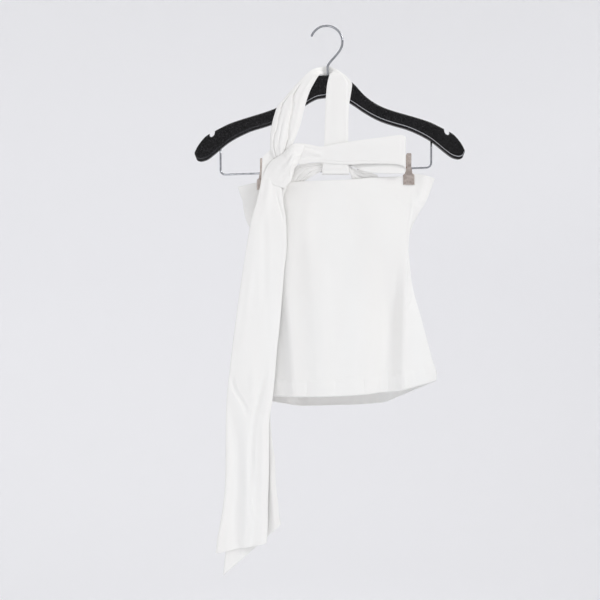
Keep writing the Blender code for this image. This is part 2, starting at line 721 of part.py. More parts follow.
def clip(side, across, metal, spring_metal):
    """A spring clip on the bar: two plates that close on the cloth, and the spring between."""
    height = bar_height(across)
    rows = CLIP_ROWS[::-1]
    ups = [row.up for row in rows]
    count = (len(rows) - 1) * 2
    for face, way in (("front", -1), ("back", 1)):
        def point(place_across, row, way=way):
            at = smooth(range(len(ups)), ups, row / 2)
            share = 2 * place_across / CLIP_COLUMNS - 1
            half = column(rows, "half_width", at)
            return (across + half * share, way * column(rows, "out", at), height + at)

        sheet(f"clip_{side}_{face}", CLIP_COLUMNS, count, point, CLIP_WALL, metal)
    shape = bmesh.new()
    inner = BAR_WIRE / 2 + HOLE_CLEARANCE
    corners = [(SPRING_HALF, inner), (SPRING_HALF, SPRING_OUTER), (-SPRING_HALF, SPRING_OUTER),
               (-SPRING_HALF, inner)]
    ring = [shape.verts.new(Vector((x, 0, r)) * MM) for x, r in corners]
    edges = [shape.edges.new((a, b)) for a, b in zip(ring, ring[1:] + ring[:1])]
    bmesh.ops.spin(shape, geom=ring + edges, cent=(0, 0, 0), axis=(1, 0, 0),
                   angle=math.tau, steps=SPRING_SIDES, use_merge=True)
    bmesh.ops.remove_doubles(shape, verts=shape.verts, dist=WELD * MM)
    bmesh.ops.recalc_face_normals(shape, faces=shape.faces)
    slope = math.atan2(BAR_RIGHT[1] - BAR_LEFT[1], BAR_RIGHT[0] - BAR_LEFT[0])
    turn = Matrix.Rotation(-slope, 4, "Y")
    bmesh.ops.transform(shape, matrix=turn, verts=shape.verts)
    bmesh.ops.translate(shape, verts=shape.verts, vec=Vector((across, 0, height)) * MM)
    name = f"clip_{side}_spring"
    mesh = bpy.data.meshes.new(name)
    shape.to_mesh(mesh)
    shape.free()
    place(name, mesh, spring_metal)


def build():
    """Makes every piece of the garment and its hanger."""
    for obj in list(bpy.data.objects):
        bpy.data.objects.remove(obj, do_unlink=True)
    cloth = finish("white crepe", "F0EFEC", 0.75, 0)
    wood = finish("black painted wood", "1B1A1C", 0.35, 0)
    chrome = finish("chromed wire", "C9CACC", 0.2, 1)
    nickel = finish("nickel plate", "A79E98", 0.35, 1)
    copper = finish("coppered spring wire", "A0714F", 0.4, 1)

    hanger_body(wood)
    hanger_hook(chrome)
    hanger_bar(chrome)
    for side, across in CLIP_AT.items():
        clip(side, across, nickel, copper)

    body_panel("body_front", 1, FRONT_HEM, FRONT_FOLDS, FRONT_LEVELS, cloth)
    body_panel("body_back", -1, BACK_HEM, BACK_FOLDS, BACK_LEVELS, cloth)
    strip("neck_band", NECK_ROWS, NECK_FOLDS, 9, 48, cloth)
    strip("front_gather", GATHER_ROWS, GATHER_FOLDS, 9, 28, cloth)
    strip("scarf_cross", CROSS_ROWS, CROSS_FOLDS, 7, 32, cloth)
    strip("scarf_knot", KNOT_ROWS, KNOT_FOLDS, 12, 16, cloth)
    strip("scarf_tail_front", FRONT_TAIL_ROWS, FRONT_TAIL_FOLDS, 10, 36, cloth)
    strip("scarf_tail_back", BACK_TAIL_ROWS, BACK_TAIL_FOLDS, 7, 26, cloth)


build()
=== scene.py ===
"""White strapless bodice with a neck band and a long knotted scarf, clipped to a hanger.

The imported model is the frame, in metres: X to the right, Z up, the front facing -Y, and
the origin where the hook rests. Tables and sizes here are in millimetres.
"""

import logging
import math
from dataclasses import dataclass
from enum import Enum

import bmesh
import bpy
import numpy as np
from mathutils import Matrix, Vector, noise


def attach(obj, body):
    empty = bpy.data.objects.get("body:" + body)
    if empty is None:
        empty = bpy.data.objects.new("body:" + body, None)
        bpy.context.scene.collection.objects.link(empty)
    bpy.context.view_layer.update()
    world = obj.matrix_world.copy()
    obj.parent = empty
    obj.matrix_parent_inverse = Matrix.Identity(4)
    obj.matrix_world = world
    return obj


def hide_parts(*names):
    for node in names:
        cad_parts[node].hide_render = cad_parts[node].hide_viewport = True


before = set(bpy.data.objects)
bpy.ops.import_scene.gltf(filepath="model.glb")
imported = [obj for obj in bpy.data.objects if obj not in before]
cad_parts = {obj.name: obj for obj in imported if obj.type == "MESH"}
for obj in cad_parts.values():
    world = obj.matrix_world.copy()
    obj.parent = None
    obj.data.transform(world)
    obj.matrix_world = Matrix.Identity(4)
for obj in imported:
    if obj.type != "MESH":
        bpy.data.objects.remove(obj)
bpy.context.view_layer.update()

LOG = logging.getLogger("bodice")
MM = 0.001
WELD = 0.00002
# Least share of its width times its length that a sheet's area is stated as.
# Length of a cubic's handles for a quarter turn, as a share of its radius.
ARC_REACH = 0.55

Point = tuple[float, float]
Table = tuple[tuple[float, ...], ...]


class Profile(Enum):
    """How the cloth rises across a fold."""

    SOFT = "soft"
    CREASE = "crease"
    PLEAT = "pleat"
    STEP = "step"


class Hold(Enum):
    """How a sheet of cloth is held, in the frame's own words."""

    HUNG = "hung"
    FOLDED = "folded"
    GATHERED = "gathered"


def monotone(places: np.ndarray, values: np.ndarray, at: np.ndarray) -> np.ndarray:
    """Reads a table along a smooth curve that never overshoots.

    Args:
        places: Rising places of the table's rows.
        values: One row of numbers for each place.
        at: The places to read.

    Returns:
        One row of numbers for each place read.
    """
    places = np.asarray(places, float)
    values = np.asarray(values, float)
    if values.ndim == 1:
        return monotone(places, values[:, None], at)[:, 0]
    steps = np.diff(places)[:, None]
    slopes = np.diff(values, axis=0) / steps
    tangents = np.empty_like(values)
    tangents[0], tangents[-1] = slopes[0], slopes[-1]
    before, after = slopes[:-1], slopes[1:]
    turning = before * after <= 0
    total = np.where(turning, 1.0, before + after)
    tangents[1:-1] = np.where(turning, 0.0, 2 * before * after / total)
    index = np.clip(np.searchsorted(places, at) - 1, 0, len(steps) - 1)
    step = steps[index]
    t = ((at - places[index])[:, None]) / step
    rise = values[index + 1] - values[index]
    start, end = tangents[index] * step, tangents[index + 1] * step
    return (values[index] + t * start + t * t * (3 * rise - 2 * start - end)
            + t * t * t * (start + end - 2 * rise))


def ramp(value: np.ndarray) -> np.ndarray:
    """Eases from 0 to 1 as the value goes from 0 to 1."""
    value = np.clip(value, 0.0, 1.0)
    return value * value * (3 - 2 * value)


@dataclass(frozen=True)
class Fold:
    """One fold: its line, its width on each side and how far it stands.

    The line is a series of (along, across) places on the cloth. A pleat is steep on its
    low side, or on its high side where the half width is negative.
    """

    line: tuple[Point, ...]
    half_width: float
    rise: float
    profile: Profile = Profile.SOFT
    ends: float = 0.25

    def lift(self, along: np.ndarray, across: np.ndarray) -> np.ndarray:
        """Height that this fold adds.

        Args:
            along: Places along the cloth, one for each row.
            across: Places across it, a row of them for each place along.

        Returns:
            Heights in millimetres, in the shape of across.
        """
        first, last = self.line[0][0], self.line[-1][0]
        run = (along - first) / (last - first)
        middle = monotone([p[0] for p in self.line], [p[1] for p in self.line],
                          np.clip(along, first, last))
        gap = (across - middle[:, None]) / self.half_width
        size = np.abs(gap)
        if self.profile is Profile.SOFT:
            shape = np.where(size < 1, np.cos(np.clip(size, 0, 1) * math.pi / 2) ** 2, 0)
        elif self.profile is Profile.CREASE:
            shape = np.clip(1 - size, 0, 1) ** 2.2
        elif self.profile is Profile.PLEAT:
            shape = np.where(gap < 0, ramp(1 + gap / 0.22), ramp(1 - gap))
        else:
            shape = ramp(0.5 + gap / 2)
        fade = ramp(run / self.ends) * ramp((1 - run) / self.ends)
        return self.rise * shape * fade[:, None]


def lifted(folds: tuple[Fold, ...], along: np.ndarray, across: np.ndarray) -> np.ndarray:
    """Total height of several folds, in millimetres."""
    total = np.zeros_like(across)
    for fold in folds:
        total += fold.lift(along, across)
    return total


def undulation(points: np.ndarray, wavelength: float, height: float, seed: float) -> np.ndarray:
    """Slow uneven waves, as hanging cloth has.

    Args:
        points: Grid of points in millimetres.
        wavelength: Size of the waves in millimetres.
        height: Greatest height in millimetres.
        seed: Moves the pattern, so that no two cloths share it.

    Returns:
        A height for each point, in millimetres.
    """
    flat = points.reshape(-1, 3) / wavelength
    heights = [noise.noise(Vector((x + seed, y, z * 0.6 - seed))) for x, y, z in flat]
    return height * np.array(heights).reshape(points.shape[:2])


def grid_points(points: np.ndarray, weld: bool, name: str) -> bpy.types.Mesh:
    """Makes a mesh of a grid operator's faces, moved to the given points.

    Args:
        points: Rows of points in millimetres.
        weld: Whether the first and last columns meet, as on a tube.
        name: Name of the mesh.

    Returns:
        The mesh, with a UV map in metres along its rows and columns.
    """
    rows, columns = points.shape[:2]
    shape = bmesh.new()
    bmesh.ops.create_grid(shape, x_segments=columns - 1, y_segments=rows - 1, size=1)
    mesh = bpy.data.meshes.new(name)
    shape.to_mesh(mesh)
    shape.free()
    mesh.vertices.foreach_set("co", (points * MM).astype(np.float32).ravel())
    across = np.zeros((rows, columns))
    across[:, 1:] = np.cumsum(np.linalg.norm(np.diff(points, axis=1), axis=2), axis=1)
    across -= across[:, -1:] / 2
    along = np.zeros((rows, columns))
    along[1:] = np.cumsum(np.linalg.norm(np.diff(points, axis=0), axis=2), axis=0)
    places = np.stack([across, along], axis=2).reshape(-1, 2) * MM
    corners = np.empty(len(mesh.loops), np.int32)
    mesh.loops.foreach_get("vertex_index", corners)
    layer = mesh.uv_layers.new(name="cut")
    layer.uv.foreach_set("vector", places[corners].astype(np.float32).ravel())
    if weld:
        shape = bmesh.new()
        shape.from_mesh(mesh)
        bmesh.ops.remove_doubles(shape, verts=shape.verts, dist=WELD)
        bmesh.ops.recalc_face_normals(shape, faces=shape.faces)
        shape.to_mesh(mesh)
        shape.free()
    mesh.shade_smooth()
    mesh.update()
    return mesh


def piece(name: str, mesh: bpy.types.Mesh, finish: bpy.types.Material, slot: str,
          *nodes: str) -> bpy.types.Object:
    """Puts a mesh in the scene as a piece of the garment or its hanger.

    Args:
        name: The piece's name.
        mesh: Its mesh, already in place.
        finish: Its material.
        slot: The record's slot for its finish; not used.
        nodes: Solids that it stands for.

    Returns:
        The new object.
    """
    obj = bpy.data.objects.new(name, mesh)
    mesh.materials.append(finish)
    bpy.context.scene.collection.objects.link(obj)
    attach(obj, "root")
    if nodes:
        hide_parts(*nodes)
    LOG.info("%s: %d faces", name, len(mesh.polygons))
    return obj


def thicken(obj: bpy.types.Object, wall: float) -> None:
    """Gives a sheet its wall, in millimetres, half on each side."""
    solidify = obj.modifiers.new("wall", "SOLIDIFY")
    solidify.thickness = wall * MM
    solidify.offset = 0


# Finishes.


def linear(hex_colour: str) -> tuple[float, float, float, float]:
    """Linear colour of an sRGB hex value."""
    channels = [int(hex_colour[i:i + 2], 16) / 255 for i in (0, 2, 4)]
    return (*(c / 12.92 if c <= 0.04045 else ((c + 0.055) / 1.055) ** 2.4
              for c in channels), 1.0)


def node(tree: bpy.types.NodeTree, kind: str, settings: dict[str, object],
         inputs: dict[str, object]) -> bpy.types.Node:
    """Adds a node.

    Args:
        tree: The material's node tree.
        kind: The node's type.
        settings: Its properties.
        inputs: Numbers for its sockets, or sockets to link to them.

    Returns:
        The new node.
    """
    made = tree.nodes.new(kind)
    for key, value in settings.items():
        setattr(made, key, value)
    for key, value in inputs.items():
        target = made.inputs[int(key) if key.isdigit() else key]
        if isinstance(value, bpy.types.NodeSocket):
            tree.links.new(value, target)
        else:
            target.default_value = value
    return made


def stops(ramp_node: bpy.types.Node, *marks: tuple[float, str]) -> None:
    """Sets a colour ramp's marks, each a place and an sRGB hex colour."""
    elements = ramp_node.color_ramp.elements
    while len(elements) < len(marks):
        elements.new(0.5)
    for element, (place, colour) in zip(elements, marks):
        element.position = place
        element.color = linear(colour)


def new_material(name: str) -> tuple[bpy.types.Material, bpy.types.NodeTree, bpy.types.Node]:
    """Makes a material.

    Args:
        name: What the surface is.

    Returns:
        The material, its node tree and its Principled shader.
    """
    material = bpy.data.materials.new(name)
    material.use_nodes = True
    tree = material.node_tree
    return material, tree, tree.nodes["Principled BSDF"]


@dataclass(frozen=True)
class CrepeCloth:
    """White polyester crepe: a matte, faintly pebbled plain weave that drapes heavily."""

    name: str = "white woven crepe"
    light: str = "F6F6F4"
    warm: str = "F5F3F0"
    roughness: float = 0.78
    # The real yarns are about 0.35 mm apart, too fine to show, so they're drawn at 1.3 mm.
    yarn_mm: float = 1.3
    pebble_mm: float = 2.2
    patch_mm: float = 110.0

    def build(self) -> bpy.types.Material:
        """Makes the material, with its yarns along the cut of each piece."""
        material, tree, shader = new_material(self.name)
        place = node(tree, "ShaderNodeTexCoord", {}, {})
        cut, spot = place.outputs["UV"], place.outputs["Object"]
        streaks = node(tree, "ShaderNodeMapping", {}, {"Vector": spot, "Scale": (1, 1, 0.22)})
        patches = node(tree, "ShaderNodeTexNoise", {}, {
            "Vector": streaks.outputs["Vector"], "Scale": 1000 / self.patch_mm,
            "Detail": 2.0, "Roughness": 0.5})
        tint = node(tree, "ShaderNodeValToRGB", {}, {"Fac": patches.outputs["Fac"]})
        stops(tint, (0.35, self.light), (0.85, self.warm))
        turns = 1000 / self.yarn_mm * math.tau / 20
        warp, weft = (node(tree, "ShaderNodeTexWave", {"bands_direction": way}, {
            "Vector": cut, "Scale": turns, "Distortion": 1.5, "Detail": 1.0,
            "Detail Scale": 2.0}) for way in "XY")
        weave = node(tree, "ShaderNodeMath", {"operation": "MULTIPLY"}, {
            "0": warp.outputs["Fac"], "1": weft.outputs["Fac"]})
        pebbles = node(tree, "ShaderNodeTexNoise", {}, {
            "Vector": spot, "Scale": 1000 / self.pebble_mm, "Detail": 2.0})
        surface = node(tree, "ShaderNodeMath", {"operation": "ADD"}, {
            "0": weave.outputs["Value"], "1": pebbles.outputs["Fac"]})
        bump = node(tree, "ShaderNodeBump", {}, {
            "Height": surface.outputs["Value"], "Strength": 0.22, "Distance": 0.0004})
        matte = node(tree, "ShaderNodeMapRange", {}, {
            "Value": pebbles.outputs["Fac"], "To Min": self.roughness - 0.06,
            "To Max": self.roughness + 0.1})
        tree.links.new(tint.outputs["Color"], shader.inputs["Base Color"])
        tree.links.new(matte.outputs["Result"], shader.inputs["Roughness"])
        tree.links.new(bump.outputs["Normal"], shader.inputs["Normal"])
        shader.inputs["IOR"].default_value = 1.46
        shader.inputs["Specular IOR Level"].default_value = 0.25
        shader.inputs["Sheen Weight"].default_value = 0.12
        shader.inputs["Sheen Roughness"].default_value = 0.5
        return material


@dataclass(frozen=True)
class PaintedWood:
    """Black lacquer sprayed on smooth hardwood: deep and half glossy, with small scuffs. Given pale
    colours, it also paints a highlight on the hanger's ledges.
    """

    name: str = "black lacquered hardwood"
    colour: str = "0A090B"
    scuff_and_highlight_fleck: str = "1E1C1D"
    roughness: float = 0.2
    specular: float = 0.24
    grain_mm: float = 1.6
    scuff_mm: float = 3.0

    def build(self) -> bpy.types.Material:
        """Makes the material, its grain running along the hanger."""
        material, tree, shader = new_material(self.name)
        spot = node(tree, "ShaderNodeTexCoord", {}, {}).outputs["Object"]
        stretched = node(tree, "ShaderNodeMapping", {}, {
            "Vector": spot, "Scale": (0.07, 1.0, 1.0)})
        grain = node(tree, "ShaderNodeTexNoise", {}, {
            "Vector": stretched.outputs["Vector"], "Scale": 1000 / self.grain_mm,
            "Detail": 3.0})
        specks = node(tree, "ShaderNodeTexNoise", {}, {
            "Vector": spot, "Scale": 1000 / self.scuff_mm, "Detail": 4.0, "Roughness": 0.7})
        # Flecks of the second colour: scuffs on the plain lacquer, and part of the painted
        # highlight on the edge finishes.
        worn = node(tree, "ShaderNodeValToRGB", {}, {"Fac": specks.outputs["Fac"]})
        stops(worn, (0.0, self.colour), (0.66, self.colour), (0.8, self.scuff_and_highlight_fleck))
        gloss = node(tree, "ShaderNodeMapRange", {}, {
            "Value": specks.outputs["Fac"], "From Min": 0.35, "From Max": 0.75,
            "To Min": self.roughness - 0.04, "To Max": self.roughness + 0.18})
        bump = node(tree, "ShaderNodeBump", {}, {
            "Height": grain.outputs["Fac"], "Strength": 0.05, "Distance": 0.0002})
        tree.links.new(worn.outputs["Color"], shader.inputs["Base Color"])
        tree.links.new(gloss.outputs["Result"], shader.inputs["Roughness"])
        tree.links.new(bump.outputs["Normal"], shader.inputs["Normal"])
        shader.inputs["Specular IOR Level"].default_value = self.specular
        shader.inputs["Coat Weight"].default_value = 0.08
        shader.inputs["Coat Roughness"].default_value = 0.12
        return material


LACQUER = PaintedWood()
# Two edge finishes that paint a highlight onto the ledges: pale grey, and a dimmer grey that is
# also glossier.
PAINTED_HIGHLIGHT_EDGE = PaintedWood("lacquer with a pale painted highlight on an edge", "B2B3B8", "DADBDE", 0.2, 1.0)
DIM_PAINTED_HIGHLIGHT_EDGE = PaintedWood("glossy lacquer with a dim painted highlight on an edge", "3C3C40", "6E6F73", 0.16, 0.9)


@dataclass(frozen=True)
class DrawnMetal:
    """Drawn or pressed metal under a thin plate, with fine lines from its making."""

    name: str
    colour: str
    worn: str
    roughness: float
    line_mm: float
    stretch: tuple[float, float, float]

    def build(self) -> bpy.types.Material:
        """Makes the material, with lines and faint tarnish."""
        material, tree, shader = new_material(self.name)
        spot = node(tree, "ShaderNodeTexCoord", {}, {}).outputs["Object"]
        stretched = node(tree, "ShaderNodeMapping", {}, {"Vector": spot, "Scale": self.stretch})
        lines = node(tree, "ShaderNodeTexNoise", {}, {
            "Vector": stretched.outputs["Vector"], "Scale": 1000 / self.line_mm, "Detail": 3.0})
        tarnish = node(tree, "ShaderNodeTexNoise", {}, {
            "Vector": spot, "Scale": 140.0, "Detail": 3.0})
        tint = node(tree, "ShaderNodeValToRGB", {}, {"Fac": tarnish.outputs["Fac"]})
        stops(tint, (0.4, self.colour), (0.75, self.worn))
        gloss = node(tree, "ShaderNodeMapRange", {}, {
            "Value": lines.outputs["Fac"], "To Min": self.roughness - 0.08,
            "To Max": self.roughness + 0.12})
        bump = node(tree, "ShaderNodeBump", {}, {
            "Height": lines.outputs["Fac"], "Strength": 0.1, "Distance": 0.0002})
        tree.links.new(tint.outputs["Color"], shader.inputs["Base Color"])
        tree.links.new(gloss.outputs["Result"], shader.inputs["Roughness"])
        tree.links.new(bump.outputs["Normal"], shader.inputs["Normal"])
        shader.inputs["Metallic"].default_value = 1.0
        return material


CHROME = DrawnMetal("chromed steel wire", "A9ABAF", "8F9195", 0.17, 0.9, (1, 1, 0.1))
NICKEL = DrawnMetal("nickel plated steel sheet", "CCC1BA", "9F9289", 0.3, 0.8, (1, 1, 0.15))
COPPER = DrawnMetal("coppered spring steel", "A87352", "7E5138", 0.38, 0.7, (0.2, 1, 1))


@dataclass(frozen=True)
class PaleBoard:
    """Matte painted board, for the floor and the sweep behind."""

    name: str = "pale painted board"
    colour: str = "EFEFF1"

    def build(self) -> bpy.types.Material:
        """Makes the material, with a faint roller stipple."""
        material, tree, shader = new_material(self.name)
        spot = node(tree, "ShaderNodeTexCoord", {}, {}).outputs["Object"]
        stipple = node(tree, "ShaderNodeTexNoise", {}, {
            "Vector": spot, "Scale": 250.0, "Detail": 2.0})
        bump = node(tree, "ShaderNodeBump", {}, {
            "Height": stipple.outputs["Fac"], "Strength": 0.05, "Distance": 0.0005})
        tree.links.new(bump.outputs["Normal"], shader.inputs["Normal"])
        shader.inputs["Base Color"].default_value = linear(self.colour)
        shader.inputs["Roughness"].default_value = 0.9
        return material


# Bodice.

# Level, left, right, ridge left, ridge right, ridge front, middle front, ridge back,
# middle back, pinch: in the order of the solids' rows, with finer values of their own.
BODY_ROWS: Table = (
    (0, 163, 163, 121, 120, 1.3, 11, 1.3, 8, 1),
    (12, 159.5, 159, 121, 121.2, 1.9, 11.9, 1.9, 8.9, 0.95),
    (26, 155.6, 153.8, 121, 122.2, 5.6, 13.6, 4.4, 10.4, 0.72),
    (44, 153.6, 146, 121.5, 124.4, 11.0, 16.6, 7.6, 12, 0.36),
    (64, 148, 133.2, 120.2, 121.4, 16.2, 20, 10.6, 14, 0.10),
    (84, 132, 121, 117, 117.2, 19.2, 23, 13, 16, 0),
    (100, 121, 113.8, 114.5, 114.8, 20, 24.5, 14.5, 17.5, 0),
    (136, 115, 116.5, 110.5, 111.2, 20.5, 26, 16, 20, 0),
    (166, 117, 118.5, 108, 108.6, 21, 27.5, 17, 22, 0),
    (191, 122, 123, 105.5, 106, 21.5, 29, 18, 24, 0),
    (222, 130, 131.2, 103, 103.2, 22, 31, 20, 27, 0),
    (256, 138.5, 139.4, 101.5, 102, 23, 33, 22, 30, 0),
    (297, 148, 149.1, 99.5, 100, 24.5, 34.5, 24, 33, 0),
    (324, 154.5, 155.8, 99, 99.5, 25.5, 35.5, 25, 34, 0),
    (334, 154, 154.5, 99, 99.5, 26, 36, 26, 34, 0),
)
TOP_EDGE: Table = ((-163, -3.1), (-121, 3.6), (-68.7, 1.8), (9.3, 1.9), (71.8, 5.0),
                   (112, 5.4), (129, 9.0), (163, 1))
FRONT_HEM: Table = ((-154.5, -334.5), (-114.6, -348.9), (-22.3, -351), (74.9, -348.3),
                    (107.5, -343.1), (155, -334))
BACK_HEM: Table = ((-154.5, -334.5), (-117, -361), (-54.7, -371.9), (13, -372.5),
                   (63.7, -370.4), (92.7, -361), (125, -347), (155, -334))

FRONT_FOLDS = (
    Fold(((110, 95), (203, 87.5), (290, 82), (420, 80)), -84, -9.4, Profile.PLEAT, 0.3),
    Fold(((160, 88), (282, 71), (330, 63), (420, 58)), 31, -9.5),
    Fold(((10, 123.5), (20, 122.6), (91, 112.8), (203, 105.2), (290, 100.2), (340, 99.8)),
         2.4, -0.9, Profile.CREASE, 0.12),
    Fold(((-14, 148), (26, 140.5), (56, 129)), 12, 2.4),
    Fold(((20, 60), (210, 40)), 46, 1.5),
    Fold(((30, -70), (400, -62)), 24, -2.2),
    Fold(((90, -34), (420, -30)), 26, 1.6),
    Fold(((150, -104), (420, -88)), 18, -3.5),
    Fold(((188, 119), (202, 113), (220, 106)), 4.0, -1.1, Profile.CREASE, 0.2),
    Fold(((40, 131), (70, 126), (108, 119)), 7, -1.8),
    Fold(((16, 20), (60, 34), (130, 30)), 22, -0.9),
    Fold(((10, -40), (70, -50), (150, -44)), 16, 0.9),
    Fold(((120, 58), (250, 66), (330, 58)), 14, 0.7),
    Fold(((226, 10), (345, -2)), 17, -0.8),
    Fold(((26, 96), (44, 118), (60, 136)), 12, 0.9),
)
HEM_PUCKERS = (
    Fold(((322, 33), (352, 34)), 3.2, -1.1),
    Fold(((318, 60), (352, 58)), 4.0, -0.7),
    Fold(((316, 76), (352, 73)), 3.0, -1.3),
    Fold(((318, 84), (352, 82)), 3.4, 0.8),
    Fold(((318, 92), (352, 91)), 2.8, -0.9),
    Fold(((316, 100), (352, 99)), 3.0, 0.9),
    Fold(((322, -12), (352, -14)), 4.5, -0.5),
    Fold(((320, -58), (352, -60)), 4.0, -0.6),
    Fold(((320, -84), (352, -82)), 4.5, 0.6),
    Fold(((318, 118), (345, 121)), 3.6, -0.7),
    Fold(((318, 134), (342, 137)), 4.2, -0.5),
)
BACK_FOLDS = (
    Fold(((120, -84), (430, -70)), 20, -5.5),
    Fold(((90, 90), (430, 72)), 22, -5.0),
    Fold(((150, 10), (430, -14)), 30, 3.0),
    Fold(((30, 30), (120, 24), (250, 34)), 18, -1.3),
    Fold(((20, -60), (160, -40)), 22, 1.4),
    Fold(((180, 40), (380, 36)), 12, -1.5),
    Fold(((210, -34), (380, -44)), 12, -1.4),
    Fold(((150, 116), (176, 104), (210, 98)), 6, -1.4, Profile.CREASE),
    Fold(((150, -114), (180, -104), (216, -99)), 6, -1.4, Profile.CREASE),
)
BACK_PUCKERS = (
    Fold(((340, 52), (374, 50)), 4.0, -0.9),
    Fold(((340, 18), (374, 20)), 4.5, -0.7),
    Fold(((340, -26), (374, -24)), 4.0, 0.7),
    Fold(((340, -52), (374, -55)), 3.6, -0.9),
    Fold(((336, 84), (366, 82)), 4.0, 0.7),
)


@dataclass
class Bodice:
    """The strapless tube of the bodice: a front and a back, joined down the sides."""

    wall: float = 1.5
    top_middle: Point = (15.2, -256.8)
    lean_degrees: float = 1.8
    length: float = 334.0
    side_share: float = 0.15
    front_grid: tuple[int, int] = (176, 190)
    back_grid: tuple[int, int] = (130, 150)
    hem_depth: float = 26.0
    hem_relief: float = 0.45
    facing_depth: float = 7.0
    edge_swell: float = 0.35
    edge_height: float = 2.5
    rolled: float = 1.5
    rolled_height: float = 1.7
    pucker_reach: float = 1.05
    long_wave: Point = (46.0, 1.1)
    short_wave: Point = (19.0, 0.35)
    calm_top: float = 60.0

    def section(self, front: bool, levels: np.ndarray, count: int) -> tuple[np.ndarray, np.ndarray]:
        """Lines across the front or the back, seam to seam.

        Args:
            front: Whether it is the front.
            levels: Distances down from the top edge.
            count: Steps across.

        Returns:
            Places across and depths, a row of each for each level.
        """
        table = np.array(BODY_ROWS)
        rows = monotone(table[:, 0], table[:, 1:], levels)
        left, right, ridge_left, ridge_right = (rows[:, i:i + 1] for i in range(4))
        ridge, middle = (rows[:, 4:5], rows[:, 5:6]) if front else (rows[:, 6:7], rows[:, 7:8])
        pinch = rows[:, 8:9]
        seam = self.wall / 2 + 0.03
        share = np.linspace(0, 1, count + 1)[None, :]
        low, high = self.side_share, 1 - self.side_share
        near = np.clip(share / low, 0, 1)
        far = np.clip((share - high) / low, 0, 1)
        face = np.clip((share - low) / (high - low), 0, 1)
        across = np.where(share < low, -left + (left - ridge_left) * near,
                          np.where(share > high, ridge_right + (right - ridge_right) * far,
                                   -ridge_left + (ridge_left + ridge_right) * face))
        pinched = np.sin(math.pi * face) ** 1.5
        full = 1 - (2 * face - 1) ** 4
        swell = full + (pinched - full) * pinch
        depth = ridge + (middle - ridge) * swell
        depth = np.where(share < low, seam + (ridge - seam) * near, depth)
        depth = np.where(share > high, ridge + (seam - ridge) * far, depth)
        for _ in range(5):
            for values in (across, depth):
                values[:, 1:-1] = (values[:, :-2] + 2 * values[:, 1:-1] + values[:, 2:]) / 4
        return across, depth

    def panel(self, front: bool, cloth: bpy.types.Material) -> None:
        """Builds and dresses the front or the back."""
        columns, rows = self.front_grid if front else self.back_grid
        hem = np.array(FRONT_HEM if front else BACK_HEM)
        levels = np.linspace(self.length, 0, rows + 1)
        across, depth = self.section(front, levels, columns)
        top = np.array(TOP_EDGE)
        upper = monotone(top[:, 0], top[:, 1], across.ravel()).reshape(across.shape)
        lower = monotone(hem[:, 0], hem[:, 1], across.ravel()).reshape(across.shape)
        up = upper + (lower - upper) * (levels[:, None] / self.length)
        depth = depth + lifted(FRONT_FOLDS if front else BACK_FOLDS, levels, across)
        depth += lifted(HEM_PUCKERS if front else BACK_PUCKERS,
                        levels * self.pucker_reach, across)
        inside = 1 - np.abs(np.linspace(-1, 1, columns + 1))[None, :] ** 12
        above_hem = up - lower
        below_top = upper - up
        sewn = self.hem_relief * ramp((self.hem_depth - above_hem) / 2.0)
        sewn += self.edge_swell * ramp((self.edge_height - above_hem) / self.edge_height)
        sewn += 0.3 * self.edge_swell * ramp((self.facing_depth - below_top) / 1.5)
        sewn -= self.rolled * ramp((self.rolled_height - above_hem) / self.rolled_height)
        depth = depth + sewn * inside
        way = -1 if front else 1
        points = np.stack([across, way * depth, up], axis=2)
        wave = undulation(points, *self.long_wave, 3.0 if front else 17.0)
        wave += undulation(points, *self.short_wave, 8.0 if front else 23.0)
        points[:, :, 1] += way * wave * inside * ramp(below_top / self.calm_top)
        lean = np.array(Matrix.Rotation(-math.radians(self.lean_degrees), 3, "Y"))
        points = points @ lean.T + np.array((self.top_middle[0], 0, self.top_middle[1]))
        name = "bodice_front" if front else "bodice_back"
        obj = piece(name, grid_points(points, False, name), cloth, "bodice_cloth",
                    "body_front" if front else "body_back")
        thicken(obj, self.wall)

    def build(self, cloth: bpy.types.Material) -> None:
        """Builds the front and the back."""
        self.panel(True, cloth)
        self.panel(False, cloth)


# Strips of cloth.

